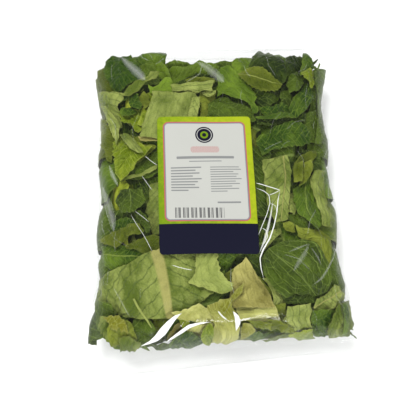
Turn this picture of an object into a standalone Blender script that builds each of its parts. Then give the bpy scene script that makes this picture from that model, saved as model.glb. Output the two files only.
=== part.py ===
# Sealed clear film bag of cut escarole, lying on its back with its label up.
# Metres, +Z up. The origin is on the table under the bag's middle, and +Y runs to its top seal.
#
# Every piece is placed by three numbers read off the film: the arc round the bag from the line
# down the middle of its front, the distance along the bag, and the depth under the film.

import math

import bmesh
import bpy
import numpy as np

# The film bag
FILM_WIDTH = 0.305  # the film tube laid flat, so half the way round it
CAVITY_HALF_LENGTH = 0.181  # from the bag's middle to where an end seal starts
SEAL_WIDTH = 0.010
BAG_THICKNESS = 0.085  # at the middle of the filled bag
END_CURVE = (4.5, 0.62)  # exponents of the curve by which it falls to the seals
FILM_THICKNESS = 0.0006
TOP_SHARE = 0.62  # of the thickness, above the fold lines down the bag's two sides
BELLY_SHARE = 0.38  # of the thickness, below them
SEAL_HEIGHT = 0.020  # of the end seals above the table
FRONT_SHARE = 0.42  # of the film's width each side of its middle line that counts as the front
TOP_FULLNESS = 2.3  # exponent of the domed front, and of the back below
BACK_FULLNESS = 3.0
TABLE_TURN = 0.02  # of the thickness, over which the film turns off the table
CORNER_EAR = 0.008  # how far the seals' corners stand out past their middles
BOTTOM_SLANT = 0.10  # slope of the bottom seal, its left corner lower
BOTTOM_GATHER = 0.05  # share of its width that the bottom seal loses in gathers
BAG_SKEW = -0.04  # sideways shift of the bag for each metre along it
PINCH_SHARE, PINCH_SPACING = 0.030, 0.088  # the folds that pull the two sides in, and from one to the next
LUMP_HEIGHT = 0.0016  # of the fill where it shows through the front
GATHER_HEIGHT, GATHER_SPACING = 0.0014, 0.060  # waves across the front beside each seal
BEARING_HEIGHT, BEARING_RADIUS = 0.0003, 0.012  # of the low places that the back stands on
BEARING_PLACE = (0.2575, 0.0734)  # of each of the four, as arc and distance along the bag
SPINE_HALF_LENGTH = 0.135  # of the flat spine that the pieces' depths are measured towards
FOLD_REACH = 0.040  # arc each side of a side fold where depth runs straight across the bag
VENT_RADIUS = 0.003  # of the punched holes that let the leaves breathe
VENT_DEPTH = 0.009  # of the cut that makes each one
VENT_PLACES = [(0.262, 0.118), (-0.262, 0.118)]  # arc and distance along the bag

# The label
LABEL_SIZE = (0.100, 0.150)
LABEL_CENTRE = (-0.0065, -0.0026)
LABEL_CORNER = 0.004
LABEL_THICKNESS = 0.0004
LABEL_GAP = 0.0008

# The leaves
LEAF_THICKNESS = 0.0008
LEAF_WAVE = 0.0011  # height of a piece's own waves
LEAF_GAP = 0.0017  # between two pieces that lie on each other
FIRST_DEPTH = 0.0023  # of the pieces that lie against the film
TUCK_START, TUCK_ROOM = 0.154, 0.016  # where the pieces crowd at the bag's ends, and over what length
DRAPE_SPREAD, DRAPE_BLUR = 4, 3  # steps by which a piece keeps clear of an edge over it, and then rounds off
BACK_COLUMNS, BACK_ROWS, ROW_SPACING = 5, 4, 0.080
BACK_START = 0.100  # arc where the pieces of the back begin, down each side of the front
CORE_DEPTH = 0.019  # of the packed middle of the leaves
CORE_HALF_LENGTH = 0.136
CORE_POINTS, CORE_STATIONS = 20, 13
BLADE_COUNT, BLADE_REACH, BLADE_THICKNESS = 30, 0.112, 0.0010
BLADE_ROOT = 0.006  # how far the blades are set into the core
BLADE_CLEARANCE = 0.0014  # between a blade's tip and the pieces over it
SEED = 41

# How finely the film is tabled, the stack of leaves is kept and the film's mesh is cut
ROW_STEP = 0.002
ARC_STEP = 0.0025
STACK_STEP = 0.0025
FILM_POINTS, FILM_STATIONS = 36, 19
FILM_REACH = 0.970  # share of the cavity's half length that the space inside reaches
STATION_SWEEP = 1.2  # radians of a sine that bunches the stations towards the two ends

# Colour, roughness and how clear each finish is
FINISHES = {
    "film": ((0.92, 0.95, 0.93), 0.12, 0.18),
    "label": ((0.86, 0.88, 0.86), 0.40, 1.0),
    "dark": ((0.045, 0.110, 0.020), 0.45, 1.0),
    "green": ((0.085, 0.190, 0.025), 0.45, 1.0),
    "olive": ((0.180, 0.230, 0.045), 0.50, 1.0),
    "lime": ((0.340, 0.430, 0.060), 0.45, 1.0),
    "pale": ((0.330, 0.400, 0.140), 0.50, 1.0),
    "cream": ((0.500, 0.520, 0.210), 0.50, 1.0),
    "tan": ((0.450, 0.430, 0.210), 0.50, 1.0),
}

# The pieces that show on the front, from the film inwards. Millimetres and degrees:
# name, x, y, length, width, turn, roundness, taper, colour, rib height
FRONT_PIECES = [
    ("ragged_lime", -1, -103, 50, 40, -161, 0.40, 0.0, "lime", 0.0),
    ("round_leaf", 85, -90, 74, 66, -118, 0.95, 0.0, "dark", 0.0),
    ("veined_corner", 133, -146, 42, 28, -3, 0.55, 0.1, "pale", 0.0),
    ("frill_corner", -101, -156, 38, 40, -151, 0.70, 0.0, "lime", 0.0),
    ("cream_fold", -4, -158, 70, 34, -108, 0.30, 0.0, "cream", 0.0),
    ("rib_leaf", -48, -106, 66, 124, 12, 0.15, -0.05, "pale", 1.6),
    ("beige_wedge", 37, -111, 68, 46, 8, 0.10, 0.55, "tan", 0.0),
    ("grey_tall", 67, -6, 74, 32, -3, 0.10, -0.05, "pale", 0.6),
    ("big_pale", -37, 77, 64, 68, -10, 0.08, 0.05, "pale", 1.0),
    ("olive_leaf", 54, 124, 58, 26, -117, 0.90, 0.1, "olive", 0.5),
    ("mid_leaf", 29, 110, 70, 38, -152, 0.35, -0.2, "green", 0.0),
    ("pale_strip", -18, 119, 50, 14, -87, 0.05, 0.0, "pale", 0.0),
    ("left_pale", -111, 91, 70, 30, 6, 0.20, -0.3, "pale", 0.0),
    ("dark_band", 80, 57, 64, 34, -70, 0.25, 0.1, "green", 0.0),
    ("pale_fold", 80, -142, 38, 32, -35, 0.20, 0.1, "pale", 0.0),
    ("left_lime", -91, 31, 54, 46, -24, 0.30, -0.5, "lime", 0.0),
    ("green_corner", 107, -150, 42, 32, 1, 0.50, 0.0, "green", 0.0),
    ("dark_round", -62, -158, 36, 32, -1, 0.90, 0.0, "dark", 0.0),
    ("bottom_strip", 62, -167, 60, 22, -92, 0.30, 0.0, "cream", 0.0),
    ("frill_heart", -86, 77, 34, 30, -75, 0.70, 0.0, "lime", 0.0),
    ("top_pale", -66, 145, 36, 26, -80, 0.40, 0.0, "pale", 0.0),
    ("corner_dark", 103, 146, 44, 34, -134, 0.50, 0.0, "dark", 0.0),
    ("left_top_dark", -100, 148, 60, 38, -83, 0.60, 0.1, "dark", 0.0),
    ("top_dark", 64, 148, 46, 38, -115, 0.40, 0.0, "dark", 0.0),
    ("right_blade", 97, 105, 66, 32, -18, 0.40, 0.2, "green", 0.0),
    ("mid_rib", 103, -9, 70, 36, -4, 0.35, 0.0, "green", 0.8),
    ("left_green", -95, -41, 52, 26, -86, 0.50, 0.0, "green", 0.0),
    ("dark_over_label", 18, 85, 60, 34, -85, 0.40, 0.0, "dark", 0.0),
    ("dark_shelf", 70, 87, 54, 26, -74, 0.40, 0.0, "dark", 0.0),
    ("top_shadow", -24, 148, 62, 34, -100, 0.60, 0.0, "dark", 0.0),
    ("left_dark", -95, -11, 48, 34, -77, 0.50, 0.0, "dark", 0.0),
    ("left_mid", -101, -74, 48, 34, -80, 0.50, 0.0, "green", 0.0),
    ("lime_fold", 110, -54, 48, 26, -124, 0.40, 0.0, "cream", 0.0),
    ("edge_right", 128, 67, 76, 28, -2, 0.50, 0.0, "dark", 0.0),
    ("under_label_left", -34, -13, 84, 60, 12, 0.30, 0.0, "green", 0.0),
    ("under_label_right", 28, -21, 84, 60, -9, 0.30, 0.0, "dark", 0.0),
]


def wrapped(arc):
    """The same place round the film, as an arc between the two ways to the middle of the back."""
    return (arc + FILM_WIDTH) % (2 * FILM_WIDTH) - FILM_WIDTH


def smooth_step(t):
    t = np.clip(t, 0.0, 1.0)
    return t * t * (3.0 - 2.0 * t)


def signed_power(value, exponent):
    return np.sign(value) * np.abs(value) ** exponent


def bag_thickness(along):
    """Full over the bag's middle, falling to two films at the seals."""
    reach = np.clip(np.abs(along) / CAVITY_HALF_LENGTH, 0.0, 1.0)
    falling = (1.0 - reach ** END_CURVE[0]) ** END_CURVE[1]
    return np.maximum(BAG_THICKNESS * falling, 2.0 * FILM_THICKNESS)


def half_section(thickness, half_width):
    """Half of a section, from the middle of the front round the right side to the middle of the back."""
    angle = np.linspace(math.pi / 2, -math.pi / 2, 401)[None, :]
    fullness = np.where(angle > 0, TOP_FULLNESS, BACK_FULLNESS)
    rise = np.where(angle > 0, TOP_SHARE, BELLY_SHARE * 1.1) * thickness[:, None]
    x = half_width[:, None] * np.abs(np.cos(angle)) ** (2.0 / fullness)
    z = rise * signed_power(np.sin(angle), 2.0 / fullness)
    # the table presses the back flat, with a soft turn where the film leaves it
    floor = -BELLY_SHARE * thickness[:, None]
    turn = TABLE_TURN * thickness[:, None]
    above = z - floor
    soft = np.where(above < -turn, 0.0, (above + turn) ** 2 / (4.0 * turn))
    z = floor + np.where(above > turn, above, soft)
    run = np.hypot(np.diff(x, axis=1), np.diff(z, axis=1))
    return x, z, np.concatenate([np.zeros((len(x), 1)), np.cumsum(run, axis=1)], axis=1)


def fitted_half_width(thickness):
    """The half width that leaves the way round the film unchanged, because film doesn't stretch."""
    low = np.full_like(thickness, 0.2 * FILM_WIDTH)
    high = np.full_like(thickness, 0.6 * FILM_WIDTH)
    for _ in range(30):
        middle = (low + high) / 2.0
        too_long = half_section(thickness, middle)[2][:, -1] > FILM_WIDTH
        high = np.where(too_long, middle, high)
        low = np.where(too_long, low, middle)
    return low


class Film:
    """The film's outer face, tabled by distance along the bag and by arc round it."""

    def __init__(self):
        end = CAVITY_HALF_LENGTH + SEAL_WIDTH
        self.along = np.linspace(-end, end, int(round(2 * end / ROW_STEP)) + 1)
        self.arc = np.linspace(-FILM_WIDTH, FILM_WIDTH, int(round(2 * FILM_WIDTH / ARC_STEP)) + 1)
        thickness = bag_thickness(self.along)
        half_width = fitted_half_width(thickness)
        x, z, run = half_section(thickness, half_width)
        reach = np.clip(np.abs(self.along) / CAVITY_HALF_LENGTH, 0.0, 1.0)
        height = BELLY_SHARE * thickness + SEAL_HEIGHT * smooth_step((reach - 0.5) / 0.5)
        place = np.zeros((len(self.along), len(self.arc), 3))
        for row in range(len(self.along)):
            scale = run[row, -1] / FILM_WIDTH
            place[row, :, 0] = np.interp(np.abs(self.arc) * scale, run[row], x[row])
            place[row, :, 2] = np.interp(np.abs(self.arc) * scale, run[row], z[row]) + height[row]
        place[:, :, 0] *= np.sign(self.arc)[None, :]
        self.place = self.shaped(place, half_width, reach)
        self.outward = self.outward_of(half_width, thickness, height)
        # the origin goes under the middle of the whole bag, its slanted seal included
        corners = self.place.reshape(-1, 3)
        self.middle = (corners.min(axis=0) + corners.max(axis=0)) / 2
        self.place[:, :, :2] -= self.middle[:2]

    def shaped(self, place, half_width, reach):
        """Adds the pulled-in sides, the corners' ears, the slanted bottom seal, the lumps and the low places."""
        along, arc = self.along[:, None], self.arc[None, :]
        across = place[:, :, 0] / half_width[:, None]
        pinch = 0.5 + 0.5 * np.cos(2 * math.pi * (along - 0.012 * np.sign(arc)) / PINCH_SPACING)
        fade = (1.0 - reach[:, None] ** 4) * np.abs(across) ** 5
        place[:, :, 0] *= 1.0 - PINCH_SHARE * pinch * fade
        place[:, :, 0] += BAG_SKEW * along
        end_share = reach[:, None] ** 6
        place[:, :, 0] *= 1.0 - BOTTOM_GATHER * end_share * (along < 0)
        place[:, :, 1] = along - np.sign(along) * CORNER_EAR * end_share * (1.0 - across**2)
        place[:, :, 1] += BOTTOM_SLANT * place[:, :, 0] * end_share * (along < 0)
        front = smooth_step(1.25 - np.abs(arc) / (FRONT_SHARE * FILM_WIDTH)) * (1.0 - reach[:, None] ** 8)
        lumps = np.sin(arc / 0.021 + 1.7 * np.sin(along / 0.034)) * np.cos(along / 0.026 + 0.8)
        place[:, :, 2] += LUMP_HEIGHT * front * lumps
        gather = np.cos(2 * math.pi * arc / GATHER_SPACING + 1.1 * np.sign(along))
        near_seal = np.exp(-(((reach[:, None] - 0.93) / 0.07) ** 2))
        place[:, :, 2] += GATHER_HEIGHT * gather * near_seal * (np.abs(arc) < 0.5 * FILM_WIDTH)
        # the fill presses the back down at four low places, and the back is flat between them
        from_low = np.hypot(np.abs(arc) - BEARING_PLACE[0], np.abs(along) - BEARING_PLACE[1])
        raised = 1.0 - np.exp(-((from_low / BEARING_RADIUS) ** 2))
        on_back = smooth_step((np.abs(arc) / FILM_WIDTH - 0.5) / 0.15)
        place[:, :, 2] += BEARING_HEIGHT * raised * on_back
        return place

    def outward_of(self, half_width, thickness, height):
        """Unit directions away from the flat spine of the fill, so that deep layers never cross."""
        across = np.maximum(half_width - 0.55 * thickness, 0.010)[:, None]
        shift = (BAG_SKEW * self.along)[:, None]
        spine = np.zeros_like(self.place)
        spine[:, :, 0] = shift + np.clip(self.place[:, :, 0] - shift, -across, across)
        from_fold = smooth_step(np.abs(np.abs(self.arc) - FILM_WIDTH / 2) / FOLD_REACH)
        past_spine = self.place[:, :, 1] - np.clip(self.place[:, :, 1], -SPINE_HALF_LENGTH, SPINE_HALF_LENGTH)
        spine[:, :, 1] = self.place[:, :, 1] - past_spine * from_fold
        spine[:, :, 2] = (height + 0.08 * thickness)[:, None]
        away = self.place - spine
        return away / np.linalg.norm(away, axis=2, keepdims=True)

    def at(self, arc, along, depth):
        """Points at a depth under the film. A depth below zero is outside the bag."""
        column = np.clip((wrapped(arc) + FILM_WIDTH) / ARC_STEP, 0, len(self.arc) - 1.001)
        row = (along - self.along[0]) / (self.along[1] - self.along[0])
        row = np.clip(row, 0, len(self.along) - 1.001)
        c, r = column.astype(int), row.astype(int)
        u, v = (column - c)[..., None], (row - r)[..., None]
        found = []
        for table in (self.place, self.outward):
            near = table[r, c] * (1 - u) + table[r, c + 1] * u
            far = table[r + 1, c] * (1 - u) + table[r + 1, c + 1] * u
            found.append(near * (1 - v) + far * v)
        return found[0] - found[1] * depth[..., None]

    def rings(self, arcs, stations, depths):
        """Rings of points at these depths, one ring at each distance along the bag."""
        return [self.at(arcs, np.full(len(arcs), along), depths) for along in stations]

    def on_front(self, x, y):
        """Arc and distance along the bag of the front's point over this x and y."""
        along = y + self.middle[1]
        row = int(np.argmin(np.abs(self.along - along)))
        front = np.abs(self.arc) < FRONT_SHARE * FILM_WIDTH
        return float(np.interp(x, self.place[row, front, 0], self.arc[front])), along


class LeafPiece:
    """One cut piece of leaf, as an outline on the film: p runs across it and q along it, from -1 to 1."""

    def __init__(self, name, arc, along, length, width, turn, roundness, taper, colour, rib, wave, draw):
        self.name, self.colour, self.rib, self.wave = name, colour, rib, wave
        self.arc, self.along, self.turn = arc, along, turn
        self.length, self.width = length, width
        self.roundness, self.taper = roundness, taper
        self.phase = draw.uniform(0, 2 * math.pi, 6)
        self.ripple = draw.uniform(0.8, 1.5, 2)

    def outline(self, p, q):
        """Arc and distance along the bag of a point of the piece."""
        a = p * np.sqrt(1 - self.roundness * q**2 / 2) * (1 - self.taper * q)
        b = q * np.sqrt(1 - self.roundness * p**2 / 2)
        a = a + 0.05 * p**2 * np.sin(5.1 * q + self.phase[0]) + 0.07 * np.sin(2.3 * q + self.phase[1])
        b = b + 0.06 * q**2 * np.sin(5.7 * p + self.phase[2])
        a, b = a * self.width / 2, b * self.length / 2
        cosine, sine = math.cos(self.turn), math.sin(self.turn)
        along = self.along + a * sine + b * cosine
        # the fill is tucked back where the film closes at the two ends
        past = np.maximum(np.abs(along) - TUCK_START, 0.0)
        tucked = np.minimum(np.abs(along), TUCK_START) + TUCK_ROOM * np.tanh(past / TUCK_ROOM)
        return self.arc + a * cosine - b * sine, np.sign(along) * tucked

    def lift(self, p, q):
        """How far the piece dips below its draped depth: its waves, and its blade beside a rib."""
        along = np.sin(2.6 * self.ripple[0] * q + self.phase[3])
        across = np.sin(3.1 * self.ripple[1] * p + self.phase[4] + 1.2 * q)
        ridge = np.exp(-((p / 0.12) ** 2)) if self.rib else 0.0
        return self.wave * (1 + 0.6 * along + 0.4 * across) / 2 + self.rib * (1 - ridge)


class LeafStack:
    """How deep the pieces reach under the film so far, over arc and distance along the bag."""

    def __init__(self):
        self.columns = int(round(2 * FILM_WIDTH / STACK_STEP))
        self.rows = int(round(2 * CAVITY_HALF_LENGTH / STACK_STEP))
        self.depth = np.full((self.rows, self.columns), FIRST_DEPTH - LEAF_GAP)

    def draped(self):
        """The depth at which a piece clears all that is above it and still bends softly."""
        field = self.depth
        for _ in range(DRAPE_SPREAD):
            field = np.maximum(field, np.maximum(np.roll(field, 1, axis=1), np.roll(field, -1, axis=1)))
            padded = np.pad(field, ((1, 1), (0, 0)), mode="edge")
            field = np.maximum(field, np.maximum(padded[:-2], padded[2:]))
        for _ in range(DRAPE_BLUR):
            field = (np.roll(field, 1, axis=1) + field + np.roll(field, -1, axis=1)) / 3
            padded = np.pad(field, ((1, 1), (0, 0)), mode="edge")
            field = (padded[:-2] + padded[1:-1] + padded[2:]) / 3
        return field + LEAF_GAP

    def read(self, field, arc, along):
        column = ((arc + FILM_WIDTH) / STACK_STEP - 0.5) % self.columns
        row = np.clip((along + CAVITY_HALF_LENGTH) / STACK_STEP - 0.5, 0, self.rows - 1.001)
        c, r = np.floor(column).astype(int) % self.columns, row.astype(int)
        u, v = column - np.floor(column), row - r
        beside = (c + 1) % self.columns
        near = field[r, c] * (1 - u) + field[r, beside] * u
        far = field[r + 1, c] * (1 - u) + field[r + 1, beside] * u
        return near * (1 - v) + far * v

    def lay(self, piece):
        """Puts a piece under those laid before it. Returns its depth as a function of p and q."""
        field = self.draped()

        def depth(p, q):
            arc, along = piece.outline(p, q)
            return self.read(field, arc, along) + piece.lift(p, q)

        p, q = np.meshgrid(np.linspace(-1, 1, 121), np.linspace(-1, 1, 121))
        arc, along = piece.outline(p, q)
        column = np.floor((arc + FILM_WIDTH) / STACK_STEP).astype(int) % self.columns
        row = np.floor((along + CAVITY_HALF_LENGTH) / STACK_STEP).astype(int).clip(0, self.rows - 1)
        below = depth(p, q) + LEAF_THICKNESS + piece.rib
        np.maximum.at(self.depth, (row, column), below)
        return depth


def finish(name):
    """The material of a finish, made on first use."""
    material = bpy.data.materials.get(name)
    if material is None:
        colour, roughness, solid = FINISHES[name]
        material = bpy.data.materials.new(name)
        material.use_nodes = True
        shader = material.node_tree.nodes["Principled BSDF"]
        shader.inputs["Base Color"].default_value = (*colour, 1.0)
        shader.inputs["Roughness"].default_value = roughness
        shader.inputs["Metallic"].default_value = 0.0
        shader.inputs["Alpha"].default_value = solid
    return material


def new_object(name, bm, collection):
    mesh = bpy.data.meshes.new(name)
    bm.to_mesh(mesh)
    bm.free()
    obj = bpy.data.objects.new(name, mesh)
    collection.objects.link(obj)
    return obj


def lofted(name, rings, collection):
    """A closed body through rings of points from a side fold on, with upright strips across its ends."""
    bm = bmesh.new()
    rows = [[bm.verts.new(point) for point in ring] for ring in rings]
    count = len(rings[0])
    for near, far in zip(rows, rows[1:]):
        for i in range(count):
            j = (i + 1) % count
            bm.faces.new((near[i], near[j], far[j], far[i]))
    for row, first in ((rows[0], True), (rows[-1], False)):
        for i in range(count // 2):
            a, b, c, d = row[i], row[i + 1], row[count - 1 - i], row[(count - i) % count]
            corners = list(dict.fromkeys((a, b, c, d)))
            if len(corners) > 2:
                bm.faces.new(corners[::-1] if not first else corners)
    bmesh.ops.triangulate(bm, faces=bm.faces)
    bmesh.ops.recalc_face_normals(bm, faces=bm.faces)
    return new_object(name, bm, collection)


def ring_arcs(count):
    """Arcs of a ring's points from the fold down the left side, closest together at both side folds."""
    share = np.arange(count) / count
    return FILM_WIDTH * (2 * share - 0.5 - 0.07 * np.sin(4 * math.pi * share))


def make_film(film, collection, cutters):
    """The bag's film: its outer face, less the space inside and the punched vents."""
    arcs = ring_arcs(FILM_POINTS)
    end = CAVITY_HALF_LENGTH + SEAL_WIDTH
    sweep = np.sin(np.linspace(-STATION_SWEEP, STATION_SWEEP, FILM_STATIONS)) / math.sin(STATION_SWEEP)
    stations = np.concatenate([
        [-end, -CAVITY_HALF_LENGTH],
        sweep * FILM_REACH * CAVITY_HALF_LENGTH,
        [CAVITY_HALF_LENGTH, end],
    ])
    skin = lofted("film_bag", film.rings(arcs, stations, np.zeros(FILM_POINTS)), collection)
    inside = film.rings(arcs, stations[2:-2], np.full(FILM_POINTS, FILM_THICKNESS))
    cutter_objects = [lofted("film_inside", inside, cutters)]
    for arc, along in VENT_PLACES:
        spot = film.at(np.array([arc]), np.array([along]), np.array([0.0]))[0]
        bpy.ops.mesh.primitive_cylinder_add(
            vertices=10, radius=VENT_RADIUS, depth=VENT_DEPTH, location=spot
        )
        vent = bpy.context.object
        vent.name = "vent"
        for owner in list(vent.users_collection):
            owner.objects.unlink(vent)
        cutters.objects.link(vent)
        cutter_objects.append(vent)
    for cutter in cutter_objects:
        cutter.hide_render = True
        cutter.display_type = "WIRE"
        cut = skin.modifiers.new(cutter.name, "BOOLEAN")
        cut.operation = "DIFFERENCE"
        cut.object = cutter
    return skin


def sheet_on_film(name, film, p_count, q_count, place, collection):
    """A sheet of p by q quads, split into triangles, with each corner where place(p, q) puts it."""
    bm = bmesh.new()
    bmesh.ops.create_grid(bm, x_segments=p_count, y_segments=q_count, size=1.0)
    bmesh.ops.triangulate(bm, faces=bm.faces)
    grid = np.array([v.co[:2] for v in bm.verts])
    arc, along, depth = place(grid[:, 0], grid[:, 1])
    for vert, point in zip(bm.verts, film.at(arc, along, depth)):
        vert.co = point
    return new_object(name, bm, collection)


def thicken(obj, thickness):
    """Turns a sheet into a solid, inwards from its outer face."""
    solid = obj.modifiers.new("thickness", "SOLIDIFY")
    solid.thickness = thickness
    solid.offset = -1.0
    return obj


def make_label(film, collection):
    """The sticker: a rectangle with round corners, bent over the front of the bag."""
    half_width, half_length = LABEL_SIZE[0] / 2, LABEL_SIZE[1] / 2
    middle, along = film.on_front(*LABEL_CENTRE)

    def place(p, q):
        # rows bunch up at the two ends, where the corners turn
        y = half_length * np.sin(q * math.pi / 2)
        into_corner = np.clip(np.abs(y) - (half_length - LABEL_CORNER), 0, LABEL_CORNER)
        half = half_width - LABEL_CORNER + np.sqrt(LABEL_CORNER**2 - into_corner**2)
        return middle + p * half, along + y, np.full_like(p, -(LABEL_GAP + LABEL_THICKNESS))

    return thicken(sheet_on_film("label", film, 8, 14, place, collection), LABEL_THICKNESS)


def front_pieces(film, draw):
    """The pieces that show on the front, each where the list puts it."""
    made = []
    for name, x, y, length, width, turn, roundness, taper, colour, rib in FRONT_PIECES:
        x, y, length, width, rib = (v / 1000 for v in (x, y, length, width, rib))
        place = film.on_front(x, y)
        shape = (length, width, math.radians(turn), roundness, taper, colour, rib, LEAF_WAVE)
        made.append(LeafPiece("leaf_" + name, *place, *shape, draw))
    return made


def back_pieces(draw):
    """The pieces round the sides and on the back, in staggered rows with each one turned at random."""
    colours = ["dark", "green", "dark", "pale", "green", "olive", "dark", "cream", "green", "lime"]
    made = []
    spread = 2 * FILM_WIDTH - 2 * BACK_START
    for row in range(BACK_ROWS):
        for column in range(BACK_COLUMNS):
            share = (column + 0.5 + 0.25 * (row % 2 - 0.5)) / BACK_COLUMNS
            arc = BACK_START + spread * share + draw.uniform(-0.008, 0.008)
            along = (row + 0.5 - BACK_ROWS / 2) * ROW_SPACING + draw.uniform(-0.006, 0.006)
            length, width = draw.uniform(0.080, 0.098), draw.uniform(0.066, 0.080)
            turn = draw.uniform(-0.6, 0.6)
            roundness, taper = draw.uniform(0.2, 0.9), draw.uniform(-0.15, 0.15)
            number = row * BACK_COLUMNS + column
            name = f"leaf_back_{number + 1:02d}"
            colour = colours[number % len(colours)]
            shape = (length, width, turn, roundness, taper, colour, 0.0, LEAF_WAVE)
            made.append(LeafPiece(name, arc, along, *shape, draw))
    return made


def make_leaf(film, piece, depth, collection):
    """One piece of leaf as a thin waved solid."""
    def place(p, q):
        arc, along = piece.outline(p, q)
        return arc, along, depth(p, q)

    across = 8 if piece.width > 0.100 else 6 if piece.width > 0.060 else 4
    lengthways = 6 if piece.length > 0.062 else 4
    obj = sheet_on_film(piece.name, film, across, lengthways, place, collection)
    obj.data.materials.append(finish(piece.colour))
    obj.data.shade_smooth()
    return thicken(obj, LEAF_THICKNESS)


def make_blade(film, stack, field, number, draw, collection):
    """A leaf blade that leans out of the packed middle and stops short of the pieces over it."""
    golden = (math.sqrt(5) - 1) / 2
    arc = FILM_WIDTH * (2 * ((number * golden) % 1.0) - 1)
    along = BLADE_REACH * (2 * (number + 0.5) / BLADE_COUNT - 1)
    heading, lean = draw.uniform(0, math.pi), draw.uniform(-0.016, 0.016)
    length, phase = draw.uniform(0.034, 0.050), draw.uniform(0, 6.0)
    root = CORE_DEPTH + BLADE_ROOT

    def place(p, q):
        rise = (q + 1) / 2
        a = p * length / 2 * (0.75 + 0.25 * rise)
        b = 0.006 * np.sin(2.2 * p + phase) + lean * rise
        u = arc + a * math.cos(heading) - b * math.sin(heading)
        v = along + a * math.sin(heading) + b * math.cos(heading)
        tip = np.minimum(stack.read(field, u, v) + BLADE_CLEARANCE, root - 0.004)
        ragged = 0.94 + 0.06 * np.sin(7 * p + phase)
        return u, v, root + (tip - root) * rise * ragged

    blade = sheet_on_film(f"blade_{number}", film, 4, 2, place, collection)
    solid = blade.modifiers.new("thickness", "SOLIDIFY")
    solid.thickness = BLADE_THICKNESS
    solid.offset = 0.0


def make_leaf_mass(film, stack, draw, collection):
    """The packed middle of the leaves: a core with blades standing out of it all round, as one body."""
    stations = np.linspace(-CORE_HALF_LENGTH, CORE_HALF_LENGTH, CORE_STATIONS)
    depths = np.full(CORE_POINTS, CORE_DEPTH)
    core = lofted("leaf_mass", film.rings(ring_arcs(CORE_POINTS), stations, depths), collection)
    core.data.materials.append(finish("dark"))
    field = stack.draped()
    blades = bpy.data.collections.new("blades")
    bpy.context.scene.collection.children.link(blades)
    for number in range(BLADE_COUNT):
        make_blade(film, stack, field, number, draw, blades)
    join = core.modifiers.new("blades", "BOOLEAN")
    join.operation = "UNION"
    join.operand_type = "COLLECTION"
    join.collection = blades
    bpy.context.view_layer.update()
    graph = bpy.context.evaluated_depsgraph_get()
    joined = bpy.data.meshes.new_from_object(core.evaluated_get(graph))
    core.modifiers.clear()
    core.data = joined
    for blade in list(blades.objects):
        bpy.data.objects.remove(blade)
    bpy.data.collections.remove(blades)


def main():
    for obj in list(bpy.data.objects):
        bpy.data.objects.remove(obj)
    parts = bpy.data.collections.new("bagged_escarole")
    cutters = bpy.data.collections.new("cutters")
    for collection in (parts, cutters):
        bpy.context.scene.collection.children.link(collection)
    draw = np.random.default_rng(SEED)
    film, stack = Film(), LeafStack()
    bag = make_film(film, parts, cutters)
    bag.data.materials.append(finish("film"))
    label = make_label(film, parts)
    label.data.materials.append(finish("label"))
    for piece in front_pieces(film, draw) + back_pieces(draw):
        make_leaf(film, piece, stack.lay(piece), parts)
    make_leaf_mass(film, stack, draw, parts)


main()
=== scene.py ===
# Looks of the sealed clear film bag of cut escarole: the film, the printed label and every piece of leaf.
# Metres, +Z up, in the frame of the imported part. The pieces that show on the front are outlined in the
# pixels of the 400 x 400 view, and each is laid on its own level under the film, where that pixel sees it.

import math

import bpy
import numpy as np
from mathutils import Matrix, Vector


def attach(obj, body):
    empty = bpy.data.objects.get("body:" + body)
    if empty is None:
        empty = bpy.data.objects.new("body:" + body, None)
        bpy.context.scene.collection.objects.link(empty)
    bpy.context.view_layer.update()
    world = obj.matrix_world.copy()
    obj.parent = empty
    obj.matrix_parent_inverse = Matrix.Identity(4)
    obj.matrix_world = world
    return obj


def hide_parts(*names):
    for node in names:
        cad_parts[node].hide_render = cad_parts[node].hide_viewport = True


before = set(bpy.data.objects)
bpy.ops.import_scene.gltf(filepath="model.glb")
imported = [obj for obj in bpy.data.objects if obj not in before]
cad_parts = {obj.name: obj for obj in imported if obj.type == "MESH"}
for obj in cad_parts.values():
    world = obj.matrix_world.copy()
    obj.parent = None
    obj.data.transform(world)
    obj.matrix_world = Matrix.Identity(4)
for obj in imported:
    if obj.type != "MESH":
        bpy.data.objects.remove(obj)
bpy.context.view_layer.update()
scene = bpy.context.scene
print("frame loaded:", len(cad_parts), "nodes")

bag = {  # the shape of the filled film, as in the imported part
    "filmWidth": 0.305,  # the film tube laid flat, so half the way round it
    "halfLength": 0.181,  # from the middle to where an end seal starts
    "sealWidth": 0.010,
    "thickness": 0.085,  # in the middle
    "endCurve": (4.5, 0.62),  # the two powers by which it falls to the ends
    "filmThickness": 0.0006,
    "topShare": 0.62,  # of the thickness, above the fold lines down the bag's two sides
    "bellyShare": 0.38,  # of the thickness, below them
    "sealHeight": 0.020,  # of the end seals over the table
    "frontShare": 0.42,  # of the film's width that counts as its front
    "topFullness": 2.3,  # powers of the section's curve above the fold lines and below them
    "backFullness": 3.0,
    "tableTurn": 0.02,  # of the thickness, over which the film turns off the table
    "cornerEar": 0.008,  # by which an end's corners reach past its middle
    "bottomSlant": 0.10,
    "bottomGather": 0.05,  # share by which the bottom is narrower
    "skew": -0.04,  # sideways shift over length
    "pinch": (0.030, 0.088),  # share by which the sides are drawn in, and the length between two pinches
    "lumpHeight": 0.0016,
    "gather": (0.0014, 0.060),  # height and length of the waves beside an end seal
    "bearing": (0.0003, 0.012),  # height of the back over its four low places, and their reach
    "bearingPlace": (0.2575, 0.0734),  # arc and distance along the bag
    "spineHalf": 0.135,  # half the length of the spine in the middle of the fill
    "foldReach": 0.040,  # from the fold lines, where directions turn from the spine's ends to its side
    "vents": ((0.262, 0.118), (-0.262, 0.118)),  # the same two measures for each hole
}

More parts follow.
